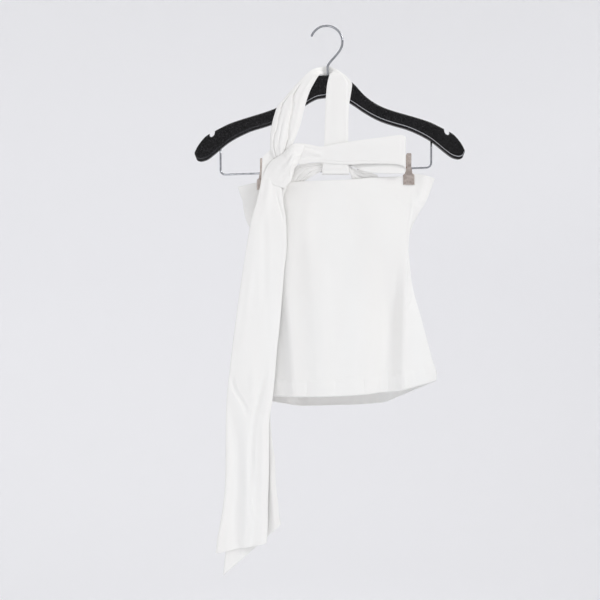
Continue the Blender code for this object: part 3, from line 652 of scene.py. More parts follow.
# First x, first z, second x, second z, first y, second y, bulge: in the order of the
# solids' rows. The back end's are the same, and the others have finer values of their own.
NECK_ROWS: Table = (
    (-87.6, -221, -64, -212, -13.6, -13.6, 1.6),
    (-93.6, -199, -56, -195, -12.8, -12.8, 3.0),
    (-93.2, -184, -50.3, -180.7, -11.2, -11.2, 3.4),
    (-90.5, -163, -44, -163, -9.6, -9.6, 3.4),
    (-86, -145.6, -38.2, -139, -8.7, -8.7, 3.4),
    (-82, -134.5, -33.5, -122, -8.7, -8.7, 3.2),
    (-72, -122.8, -27, -105, -8.7, -8.7, 2.6),
    (-54.5, -101.9, -20.5, -93, -8.7, -8.7, 1.8),
    (-38.7, -85.1, -14.5, -83.5, -8.8, -8.7, 0.8),
    (-23, -71.5, -9.5, -79.7, -5.0, -5.0, 0),
    (-9, -66, -5.5, -79.7, 3.2, 2.2, 0),
    (1, -64, 1, -79.7, 5.0, 4.4, 0),
    (9, -67, 6.3, -79.6, 2.2, 0.5, 0),
    (22, -76.5, 5.0, -79.7, -6.8, -7.6, 0),
    (33, -85.5, 1.5, -90, -8.8, -8.8, 0),
    (41.0, -97.5, -0.5, -101, -8.8, -8.8, 0),
    (38.3, -117.4, -2.3, -121.2, -8.8, -8.8, 0),
    (36.0, -133, -2.9, -135, -8.9, -8.9, 0),
    (34.8, -165, -4.0, -166, -10.0, -10.0, 0),
    (34.6, -193, -5.0, -196.6, -12.2, -12.2, 0),
    (35.2, -222, -7.2, -222, -13.4, -13.4, 0),
    (35.9, -242.5, -8.5, -242.5, -13.5, -13.5, 0),
    (35.9, -244.7, -8.5, -244.7, -12.6, -12.6, 0),
    (35.9, -245.6, -8.5, -245.6, -10.5, -10.5, 0),
    (35.9, -244.7, -8.5, -244.7, -8.4, -8.4, 0),
    (35.9, -242.5, -8.5, -242.5, -7.5, -7.5, 0),
    (35.5, -226, -8.0, -226, -7.4, -7.4, 0),
)
NECK_FOLDS = (
    Fold(((-1, 0.66), (1.4, 0.70), (3.1, 0.585), (4.5, 0.56), (6.0, 0.36), (7.6, 0.16)),
         0.10, -2.6, Profile.PLEAT, 0.12),
    Fold(((-1, 0.20), (2.0, 0.12), (2.5, 0.18), (4.0, 0.17), (5.4, 0.14), (7.0, 0.05)),
         0.08, -2.0, Profile.PLEAT, 0.15),
    Fold(((-1, 0.42), (1.6, 0.36), (4.0, 0.34)), 0.07, -0.8, Profile.CREASE, 0.4),
    Fold(((-1, 0.86), (2.0, 0.84), (5.0, 0.80), (8.4, 0.62)), 0.14, 1.2),
    Fold(((-1, 0.50), (2.4, 0.46), (5.4, 0.42)), 0.14, 0.9),
    Fold(((-2, 0.10), (0.8, 0.30), (1.9, 0.40)), 0.06, -1.3, Profile.CREASE, 0.3),
    Fold(((13.2, 0.14), (15.2, 0.20), (16.8, 0.10), (20.8, 0.05)), 0.04, 1.3,
         Profile.STEP, 0.04),
    Fold(((14.0, 0.55), (17.0, 0.50), (20.0, 0.60)), 0.35, 0.4),
    Fold(((8.2, 0.4), (10, 0.5), (13.4, 0.45)), 0.2, -1.0),
)

CROSS_ROWS: Table = (
    (-58, -202, -56, -226, -17.0, -17.0, 0),
    (-45, -195.5, -42, -230, -17.2, -16.6, 0),
    (-27, -198, -24, -226.5, -16.8, -16.4, 0),
    (-12, -201, -10, -227.0, -16.6, -16.2, 0),
    (8, -197.5, 10, -228.8, -16.9, -16.2, 0),
    (36, -192.8, 38, -230.4, -16.9, -16.0, 0),
    (62, -189.2, 62, -228.8, -16.8, -15.8, 0),
    (88, -185.8, 88, -228.8, -16.4, -15.2, 0),
    (110, -182.6, 110, -229.4, -15.8, -14.8, 0),
    (120, -182.0, 121, -231.0, -15.2, -14.4, 0),
    (126.6, -183.6, 126.8, -234.0, -13.6, -13.4, 0),
    (128.6, -185.2, 128.4, -239.5, -11.0, -10.8, 0),
    (126.8, -186.4, 126.8, -244.2, -8.4, -11.2, 0),
    (118, -188, 119, -244.6, -6.8, -12.6, 0),
    (100, -190, 100, -244.4, -6.2, -13.2, 0),
    (76, -193, 76, -243.6, -5.8, -13.0, 0),
    (55, -196, 55, -239.0, -5.4, -11.8, 0),
    (44, -197.5, 44.5, -233.6, -5.2, -8.4, 0),
    (36, -199, 36, -229.6, -5.0, -5.2, 0),
    (10, -202, 10, -223, -5.0, -5.0, 0),
    (-20, -204, -20, -221, -5.0, -5.0, 0),
    (-50, -205, -50, -219, -5.4, -5.4, 0),
)
CROSS_FOLDS = (
    Fold(((0.2, 0.30), (1.8, 0.40), (3.4, 0.50)), 0.26, 1.2),
    Fold(((0.4, 0.14), (1.4, 0.20), (2.6, 0.30)), 0.10, -0.6),
    Fold(((0.6, 0.72), (2.0, 0.66), (3.2, 0.62)), 0.12, -0.6),
    Fold(((2.6, 0.90), (3.2, 0.87), (5.0, 0.87), (7.0, 0.91)), 0.03, -0.7, Profile.CREASE, 0.1),
    Fold(((5.2, 0.30), (9.8, 0.34)), 0.30, 0.6),
    Fold(((8.7, 0.5), (9.4, 0.52), (10.2, 0.5)), 0.6, -0.4),
    Fold(((11.6, 0.62), (14.0, 0.66), (16.6, 0.60)), 0.20, 0.6),
)

GATHER_ROWS: Table = (
    (-70, -268, -41, -268, -2.4, -2.6, 0),
    (-64, -253, -35.6, -254.8, -3.2, -4.2, 0),
    (-59, -240.5, -26.4, -249.6, -6.2, -6.8, 0),
    (-50, -231.5, -18.4, -245.0, -9.0, -8.8, 0),
    (-31, -227.4, -12.6, -242.2, -10.2, -9.9, 0),
    (-13, -226.6, -9.5, -241, -10.5, -10.5, 0),
    (2, -226.6, 2, -241, -10.5, -10.5, 0),
    (16, -226.6, 16, -241, -10.5, -10.5, 0),
    (29, -226.8, 29, -241, -10.5, -10.5, 0),
    (36.5, -230.6, 36.5, -241.4, -10.0, -10.3, 0),
    (41, -233.8, 39, -244.5, -7.8, -9, 0),
    (48, -236.4, 41, -251, -6.0, -6.6, 0),
    (64, -240.4, 44, -259, -4.6, -4.6, 0),
    (82, -246.0, 50, -268, -3.4, -3.2, 0),
    (88, -262, 56, -276, -2.6, -2.8, 0),
)

KNOT_ROWS: Table = (
    (-37.3, -200.3, -50.4, -232.2, -18.9, -18.9, 0.6),
    (-41.1, -198.5, -51.8, -234.1, -19.8, -19.8, 2.4),
    (-49.6, -196.6, -53.8, -237.2, -20.2, -20.8, 5.2),
    (-58.2, -198.8, -55.1, -240.9, -19.6, -21.4, 7.4),
    (-66.2, -205.9, -56.1, -245.2, -19.0, -22.0, 7.8),
    (-74.4, -214.0, -57.1, -249.5, -18.6, -22.8, 7.0),
    (-82.9, -218.9, -58.3, -253.9, -18.4, -23.8, 5.6),
    (-91.7, -225.1, -60.0, -257.9, -18.6, -24.6, 4.0),
    (-99.2, -235.4, -62.6, -261.2, -19.4, -25.2, 2.6),
    (-104.4, -246.7, -65.8, -264.8, -21.2, -25.4, 1.4),
    (-107.3, -258.0, -69.7, -270.4, -22.9, -25.2, 0.5),
)
KNOT_FOLDS = (
    Fold(((0.0, 0.36), (2.5, 0.34), (5.0, 0.40), (8.4, 0.46)), 0.16, -1.3),
    Fold(((1.2, 0.66), (3.5, 0.64), (6.0, 0.68), (9.4, 0.70)), 0.13, -1.1),
    Fold(((0.4, 0.18), (2.4, 0.20), (4.4, 0.16)), 0.08, -0.8, Profile.CREASE, 0.3),
    Fold(((4.4, 0.74), (5.6, 0.80), (6.8, 0.90)), 0.05, -1.5, Profile.CREASE, 0.3),
    Fold(((1.6, 0.88), (3.2, 0.84), (4.6, 0.90)), 0.07, -1.0, Profile.CREASE, 0.3),
    Fold(((0.0, 0.52), (2.6, 0.50), (5.0, 0.54)), 0.12, 0.7),
)

FRONT_TAIL_ROWS: Table = (
    (-92.5, -204, -68, -208, -10.4, -10.4, 0),
    (-106.5, -220, -62, -222, -11.6, -12.0, 0),
    (-107, -236, -67, -238, -16.8, -16.8, 0),
    (-107.6, -253.7, -75.8, -254, -22.0, -22.0, 0.4),
    (-111.1, -274.6, -73.8, -276, -25.6, -25.6, 0.8),
    (-116.5, -296, -71.6, -295.6, -28.2, -28.2, 1.2),
    (-124.5, -326.3, -67.2, -326.3, -30.6, -30.6, 1.5),
    (-130.8, -362, -66.3, -362.5, -31.8, -31.8, 1.8),
    (-137.2, -404, -70.5, -404.8, -32.8, -32.8, 2.0),
    (-144, -450, -74.0, -450, -33.8, -33.8, 2.3),
    (-149.5, -492, -77.6, -492, -34.8, -34.8, 2.6),
    (-154.9, -536, -82.4, -536, -36.0, -36.0, 2.9),
    (-159.6, -577, -85.6, -577, -37.0, -37.0, 3.1),
    (-163.2, -615, -89.6, -615, -37.6, -37.6, 3.2),
    (-164.3, -655, -94.6, -655, -37.4, -37.4, 3.2),
    (-164.6, -700, -94.8, -700, -36.6, -36.6, 3.2),
    (-165.2, -745, -95.4, -745, -35.6, -35.6, 3.1),
    (-168.5, -782, -96.7, -782, -34.6, -34.6, 3.0),
    (-174.2, -818, -96.9, -814, -33.6, -33.6, 3.0),
    (-178.6, -842, -98.0, -832, -33.0, -33.0, 3.0),
    (-180.6, -862.5, -99.0, -846, -32.6, -32.6, 3.0),
)
FRONT_TAIL_FOLDS = (
    Fold(((12.6, 0.08), (13.6, 0.16), (14.8, 0.27), (16.8, 0.30), (18.4, 0.36), (24, 0.52)),
         0.22, -4.6),
    Fold(((11.4, 0.84), (12.5, 0.72), (14.6, 0.605), (17.0, 0.55)), 0.11, -2.4, ends=0.3),
    Fold(((11.7, 0.03), (12.4, 0.13), (13.2, 0.40), (13.9, 0.56)), 0.09, -2.0, ends=0.3),
    Fold(((10.5, 0.92), (14, 0.87), (24, 0.86)), 0.16, 2.0),
    Fold(((12.6, 0.02), (24, 0.05)), 0.12, 1.4),
    Fold(((14.5, 0.50), (18, 0.57), (24, 0.66)), 0.16, 1.3),
    Fold(((11.2, 0.46), (12.4, 0.55), (13.4, 0.54)), 0.14, 1.4, ends=0.4),
    Fold(((5.4, 0.34), (7.6, 0.50), (9.6, 0.64)), 0.16, -1.0),
    Fold(((-1, 0.46), (6.5, 0.36)), 0.22, 1.3),
    Fold(((3.6, 0.72), (4.6, 0.78), (5.4, 0.86), (6.4, 0.95)), 0.10, -0.9, Profile.PLEAT, 0.3),
    Fold(((16.4, 0.60), (17.3, 0.66), (17.9, 0.76)), 0.05, 0.8, ends=0.3),
    Fold(((17.8, 0.62), (20.6, 0.58)), 0.08, -0.8),
    Fold(((7.4, 0.16), (9.6, 0.24), (11.4, 0.14)), 0.14, 0.8),
)

BACK_TAIL_ROWS: Table = (
    (-92, -238, -54, -239, -14.9, -14.9, 0),
    (-96, -254, -58.0, -254.7, -18.4, -18.0, 0),
    (-99, -268, -66.6, -268.6, -21.4, -20.4, 0),
    (-103, -286, -72.0, -286, -23.6, -22.4, 0),
    (-110, -326, -76.0, -326, -26.4, -25.4, 0),
    (-118, -385, -78.0, -385, -28.4, -27.6, 0),
    (-126, -450, -81.0, -450, -29.6, -29.0, 0),
    (-136, -520, -86.0, -520, -30.4, -30.2, 0),
    (-145, -585, -90.5, -585, -31.0, -31.0, 0),
    (-151, -632, -93.0, -632, -31.4, -31.4, 0),
    (-155, -677, -90.1, -677, -31.0, -31.0, 0),
    (-157, -712, -85.2, -712, -30.4, -30.4, 0),
    (-158, -748, -84.2, -748, -29.6, -29.6, 0),
    (-160, -790, -80.6, -777, -28.8, -28.8, 0),
    (-164, -845, -78.6, -801, -28.0, -28.0, 0),
    (-169.3, -899.7, -75.2, -817.2, -27.2, -27.2, 0),
)
BACK_TAIL_FOLDS = (
    Fold(((8.5, 0.72), (19, 0.82)), 0.12, -2.2),
    Fold(((7.5, 0.34), (19, 0.30)), 0.16, 1.0),
    Fold(((3, 0.5), (9, 0.56)), 0.18, 1.0),
    Fold(((10.5, 0.93), (12.5, 0.90), (15.4, 0.92)), 0.06, 0.9),
    Fold(((11.5, 0.48), (15.4, 0.52)), 0.09, -0.8),
)


def gather_folds() -> tuple[Fold, ...]:
    """The fine uneven pleats of the gathered cloth, closest under the keeper."""
    folds = []
    for index, (place, width, rise) in enumerate((
            (0.16, 0.06, -0.7), (0.34, 0.09, 0.4), (0.46, 0.06, -0.8), (0.62, 0.10, 0.4),
            (0.72, 0.06, -0.8), (0.90, 0.06, -0.6))):
        sway = 0.04 if index % 2 else -0.03
        folds.append(Fold(((-1, place - sway), (7, place + sway), (15, place - sway / 2)),
                          width, rise, Profile.PLEAT if rise < 0 else Profile.SOFT, 0.05))
    return tuple(folds)


@dataclass
class Strip:
    """A strip of cloth, shaped by a table of lines across it."""

    name: str
    node: str
    rows: Table
    folds: tuple[Fold, ...]
    columns: int
    steps: int
    hold: Hold
    rests_on: tuple[str, ...]
    seed: float
    wave: float = 0.5
    wall: float = 1.4
    edge_roll: float = 0.35
    slot: str = "scarf_cloth"
    rolled_rim: float = 3.0
    calm_rim: float = 8.0
    long_wave: float = 34.0
    short_wave: float = 13.0

    def points(self) -> np.ndarray:
        """The strip's grid of points, in millimetres."""
        table = np.array([(*row, 0.0)[:7] for row in self.rows])
        along = np.linspace(0, len(table) - 1, self.steps + 1)
        lines = monotone(np.arange(len(table)), table, along)
        share = np.linspace(0, 1, self.columns + 1)[None, :]
        first_x, first_z, second_x, second_z, first_y, second_y, bulge = (
            lines[:, i:i + 1] for i in range(7))
        across = np.repeat(share, len(along), axis=0)
        depth = first_y + (second_y - first_y) * share
        depth = depth - bulge * np.sin(math.pi * share) ** 0.8
        depth = depth - lifted(self.folds, along, across)
        points = np.stack([first_x + (second_x - first_x) * share, depth,
                           first_z + (second_z - first_z) * share], axis=2)
        width = np.linalg.norm(points[:, -1] - points[:, 0], axis=1)[:, None]
        rim = np.minimum(share, 1 - share) * width
        points[:, :, 1] += self.edge_roll * ramp(1 - rim / self.rolled_rim)
        wave = undulation(points, self.long_wave, self.wave, self.seed)
        wave += undulation(points, self.short_wave, self.wave * 0.3, self.seed + 5)
        points[:, :, 1] -= wave * np.clip(rim / self.calm_rim, 0.25, 1.0)
        return points

    def build(self, cloth: bpy.types.Material) -> None:
        """Builds and dresses the strip."""
        points = self.points()
        obj = piece(self.name, grid_points(points, False, self.name), cloth, self.slot,
                    self.node)
        thicken(obj, self.wall)


@dataclass
class Scarf:
    """The neck band, the cloth in its keeper, the knot, the band across and the two ends."""

    def strips(self) -> tuple[Strip, ...]:
        """All the strips, from the neck down."""
        return (
            Strip("neck_band_cloth", "neck_band", NECK_ROWS, NECK_FOLDS, 64, 420, Hold.HUNG,
                  ("hanger_wood",), 2.0, 0.35),
            Strip("gathered_cloth", "front_gather", GATHER_ROWS, gather_folds(), 60, 210,
                  Hold.GATHERED, ("neck_band_cloth",), 31.0, 0.2, slot="bodice_cloth"),
            Strip("scarf_across", "scarf_cross", CROSS_ROWS, CROSS_FOLDS, 60, 300, Hold.FOLDED,
                  ("scarf_knot_wrap",), 12.0, 0.45),
            Strip("scarf_knot_wrap", "scarf_knot", KNOT_ROWS, KNOT_FOLDS, 64, 110, Hold.GATHERED,
                  ("neck_band_cloth",), 44.0, 0.5),
            Strip("scarf_end_front", "scarf_tail_front", FRONT_TAIL_ROWS, FRONT_TAIL_FOLDS, 66,
                  430, Hold.HUNG, ("scarf_knot_wrap",), 21.0, 1.1),
            Strip("scarf_end_back", "scarf_tail_back", BACK_TAIL_ROWS, BACK_TAIL_FOLDS, 50,
                  350, Hold.HUNG, ("scarf_knot_wrap",), 27.0, 0.9),
        )

    def build(self, cloth: bpy.types.Material) -> None:
        """Builds each strip in turn."""
        for strip in self.strips():
            strip.build(cloth)


# Hanger.

# Distance out from the middle, top and bottom: the solid's own rows.
HANGER_ROWS: Table = (
    (0, -80.7, -117.3), (18.5, -81.0, -119.6), (28, -86.0, -123.6), (40.7, -95.1, -131.4),
    (58.2, -114.2, -143.4), (72, -125.0, -151.6), (86.5, -133.2, -158.5),
    (106, -140.6, -165.2), (127.7, -147.1, -171.6), (146, -152.6, -179.4),
    (165.8, -159.4, -190.4), (180, -166.2, -201.6), (192, -172.6, -211.6),
    (204, -179.4, -219.6), (213, -189.0, -221.6), (219, -197.6, -219.4),
    (222.4, -204.4, -211.0),
)


def round_wire(points: list[Vector], radius: float, sides: int, rounded: bool) -> np.ndarray:
    """A tube's rings along a path that stays near one upright plane.

    Args:
        points: The path, in millimetres.
        radius: The wire's radius.
        sides: Sides of each ring.
        rounded: Whether its ends are domes rather than flat cuts.

    Returns:
        Rings of points in millimetres, the last of each ring on its first.
    """
    path = np.array([tuple(p) for p in points])
    way = np.gradient(path, axis=0)
    way /= np.linalg.norm(way, axis=1)[:, None]
    side = np.cross(way, (0.0, 1.0, 0.0))
    side /= np.linalg.norm(side, axis=1)[:, None]
    other = np.cross(side, way)
    size = np.full(len(path), radius)
    if rounded:
        caps = np.array([0.0, 0.5, 0.8, 0.96])
        lifts = np.array([1.0, 0.87, 0.6, 0.28])
    else:
        caps = np.array([0.0, 0.85, 1.0])
        lifts = np.array([0.02, 0.01, 0.0])
    head = path[:1] - way[:1] * radius * lifts[:, None]
    tail = path[-1:] + way[-1:] * radius * lifts[::-1, None]
    path = np.concatenate([head, path, tail])
    count = len(caps)
    side, other = (np.concatenate([np.repeat(lines[:1], count, 0), lines,
                                   np.repeat(lines[-1:], count, 0)]) for lines in (side, other))
    size = np.concatenate([caps * radius, size, caps[::-1] * radius])
    angles = np.linspace(0, math.tau, sides + 1)[None, :, None]
    return (path[:, None] + size[:, None, None]
            * (side[:, None] * np.cos(angles) + other[:, None] * np.sin(angles)))


def cubic(start: Vector, start_way: Vector, end: Vector, end_way: Vector,
          steps: int) -> list[Vector]:
    """Points of a cubic between two ends, without the first."""
    stops_at = (start, start + start_way, end - end_way, end)
    points = []
    for step in range(1, steps + 1):
        t = step / steps
        weights = ((1 - t) ** 3, 3 * t * (1 - t) ** 2, 3 * t * t * (1 - t), t ** 3)
        points.append(sum((w * s for w, s in zip(weights, stops_at)), Vector()))
    return points


# Sections across a notch, as shares of its half width.
NOTCH_SECTIONS = (0.0, 0.3, 0.55, 0.75, 0.88, 0.96, 1.0, 1.12)
# Rings that close a tip: each one's share of the end section's size, and how far out it lies.
TIP_RINGS: Table = ((0.0, 0.9), (0.6, 0.7), (0.9, 0.35))


@dataclass
class Hanger:
    """The wooden hanger with its wire hook and trouser bar."""

    middle: float = 2.5
    half_depth: float = 6.9
    tilt_degrees: float = 0.5
    top_round: float = 2.6
    bevel_height: float = 3.9
    ledge: float = 1.5
    bevel_depth: float = 2.4
    notch_at: float = 193.6
    notch_half: float = 4.5
    notch_depth: float = 6.8
    stations: int = 118
    tip_length: float = 3.0
    tip_taper: float = 0.28
    # Place across, in mm, from which the front ledges get the bright painted highlight; elsewhere
    # they get the dim one.
    bright_highlight_from: float = -66.0
    hook_wire: float = 3.9
    hook_radius: float = 26.3
    hook_middle: Point = (-0.8, -24.8)
    hook_angles: Point = (158.0, -28.0)
    stem_x: float = 1.0
    stem_straight_from: float = -67.5
    stem_foot: float = -94.0
    hook_handle: float = 13.0
    stem_handle: float = 8.0
    bar_wire: float = 3.3
    bar_left: Point = (-176.0, -244.8)
    bar_right: Point = (172.3, -232.9)
    bar_tops: Point = (-190.0, -187.0)
    bar_bend: float = 8.0

    def bar_height(self, across: float) -> float:
        """Height of the sloping bar at a place across."""
        share = (across - self.bar_left[0]) / (self.bar_right[0] - self.bar_left[0])
        return self.bar_left[1] + (self.bar_right[1] - self.bar_left[1]) * share

    def bar_slope(self) -> float:
        """Slope of the bar, as an angle."""
        return math.atan2(self.bar_right[1] - self.bar_left[1],
                          self.bar_right[0] - self.bar_left[0])

    def face_depth(self) -> float:
        """Depth of the wood's flat faces, which stand back from the ledge."""
        return self.half_depth - self.ledge * 1.2

    def ring(self, top: float, bottom: float) -> np.ndarray:
        """One section of the wood, as (depth, height) points round it.

        Args:
            top: Height of the section's top.
            bottom: Height of its bottom.

        Returns:
            Points round the section, the last on the first.
        """
        tall = top - bottom
        half = self.half_depth
        upper = min(self.top_round, tall / 3)
        lower = min(self.bevel_height, tall / 2.6)
        deep = half - self.bevel_depth * lower / self.bevel_height
        face = self.face_depth()
        crest = bottom + lower
        corners = (
            (-face, top - upper, 0.9), (-face + upper, top, 0.9), (face - upper, top, 0.9),
            (face, top - upper, 0.9), (face, crest + self.ledge, 0.3), (half, crest, 0.35),
            (half, crest - lower * 0.2, 0.6), (deep, bottom, 1.6),
            (-deep, bottom, 1.6), (-half, crest - lower * 0.2, 0.6),
            (-half, crest, 0.35), (-face, crest + self.ledge, 0.3),
        )
        points = []
        for index, (depth, height, radius) in enumerate(corners):
            here = Vector((depth, height))
            before = Vector(corners[index - 1][:2]) - here
            after = Vector(corners[(index + 1) % len(corners)][:2]) - here
            reach = min(radius, before.length / 2.2, after.length / 2.2)
            first, last = here + before.normalized() * reach, here + after.normalized() * reach
            for step in range(5):
                t = step / 4
                points.append((1 - t) ** 2 * first + 2 * t * (1 - t) * here + t * t * last)
        points.append(points[0])
        return np.array([tuple(p) for p in points])

    def wood(self, *finishes: bpy.types.Material) -> None:
        """Builds the wooden body, notched on both shoulders.

        Args:
            finishes: The lacquer, then the bright and the dim painted highlight of its ledges.
        """
        table = np.array(HANGER_ROWS)
        reach = table[-1, 0]
        outs = np.linspace(0, 1, self.stations // 2) ** 0.85 * reach
        outs = [out for out in outs if abs(out - self.notch_at) > self.notch_half + 1.2]
        for share in NOTCH_SECTIONS:
            outs += [self.notch_at - share * self.notch_half,
                     self.notch_at + share * self.notch_half]
        outs += [reach - 0.25, reach - 0.9]
        outs = np.array(sorted(set(round(float(out), 3) for out in outs)))
        places = np.concatenate([-outs[:0:-1], outs])
        rows = monotone(table[:, 0], table[:, 1:], np.abs(places))
        rings = []
        for place, (top, bottom) in zip(places, rows):
            off = min(1.0, abs(abs(place) - self.notch_at) / self.notch_half)
            top -= self.notch_depth * (1 - off ** 2.6) ** 0.5
            ring = self.ring(top, bottom)
            near_tip = max(0.0, (abs(place) - reach + self.tip_length) / self.tip_length)
            ring[:, 0] *= 1 - self.tip_taper * near_tip ** 2
            rings.append(np.column_stack([np.full(len(ring), place), ring]))
        ends = []
        for ring in (rings[0], rings[-1]):
            centre = ring[:-1].mean(axis=0)
            ends.append([centre + (ring - centre) * size for size, _ in TIP_RINGS])
        for (_, out), first, last in zip(TIP_RINGS, *ends):
            first[:, 0] -= out
            last[:, 0] += out
        points = np.array([*ends[0], *rings, *reversed(ends[1])])
        tilt = np.array(Matrix.Rotation(-math.radians(self.tilt_degrees), 3, "Y"))
        points = points @ tilt.T + np.array((self.middle, 0, 0))
        mesh = grid_points(points, True, "hanger_wood")
        piece("hanger_wood", mesh, finishes[0], "hanger_wood", "hanger_body")
        for finish in finishes[1:]:
            mesh.materials.append(finish)
        flat = self.face_depth() + 0.12
        # Up-facing ledge faces are painted with a highlight: bright on the front, right of the
        # given place, and dim on the rest.
        ledges = [face for face in mesh.polygons
                  if abs(face.center.y) > flat * MM and min(face.normal.z,
                                                            abs(face.normal.y)) > 0.25]
        for face in ledges:
            pale = face.center.y < 0 and face.center.x > self.bright_highlight_from * MM
            face.material_index = 1 if pale else 2

    def hook(self, finish: bpy.types.Material) -> None:
        """Builds the wire hook, with its plain rounded tip."""
        start, end = (math.radians(a) for a in self.hook_angles)
        middle = Vector((self.hook_middle[0], 0, self.hook_middle[1]))
        path = []
        for step in range(61):
            angle = start + (end - start) * step / 60
            path.append(middle + self.hook_radius * Vector((math.cos(angle), 0, math.sin(angle))))
        leaving = Vector((math.sin(end), 0, -math.cos(end)))
        foot = Vector((self.stem_x, 0, self.stem_straight_from))
        path += cubic(path[-1], leaving * self.hook_handle, foot,
                      Vector((0, 0, -self.stem_handle)), 24)
        path += [Vector((self.stem_x, 0, -75)), Vector((self.stem_x, 0, self.stem_foot))]
        rings = round_wire(path, self.hook_wire / 2, 24, True)
        piece("hook_wire", grid_points(rings, True, "hook_wire"), finish, "wire", "hanger_hook")

    def bar(self, finish: bpy.types.Material) -> None:
        """Builds the trouser bar: down from one arm, across, and up into the other."""
        left = Vector((self.bar_left[0], 0, self.bar_left[1]))
        right = Vector((self.bar_right[0], 0, self.bar_right[1]))
        slope = (right - left).normalized()
        up = Vector((0, 0, self.bar_bend))
        reach = self.bar_bend * ARC_REACH
        path = [Vector((left.x, 0, self.bar_tops[0])), Vector((left.x, 0, -215)), left + up]
        path += cubic(left + up, Vector((0, 0, -reach)), left + slope * self.bar_bend,
                      slope * reach, 12)
        for step in range(1, 30):
            share = step / 30
            path.append((left + slope * self.bar_bend).lerp(right - slope * self.bar_bend, share))
        path.append(right - slope * self.bar_bend)
        path += cubic(right - slope * self.bar_bend, slope * reach, right + up,
                      Vector((0, 0, reach)), 12)
        path += [Vector((right.x, 0, -205)), Vector((right.x, 0, self.bar_tops[1]))]
        rings = round_wire(path, self.bar_wire / 2, 20, False)
        piece("bar_wire", grid_points(rings, True, "bar_wire"), finish, "wire", "hanger_bar")

    def build(self, wood: tuple[bpy.types.Material, ...], chrome: bpy.types.Material) -> None:
        """Builds the wood, the hook and the bar."""
        self.wood(*wood)
        self.hook(chrome)
        self.bar(chrome)


class Side(Enum):
    """The two clips, by the side of the bar they are on."""

    LEFT = "left"
    RIGHT = "right"


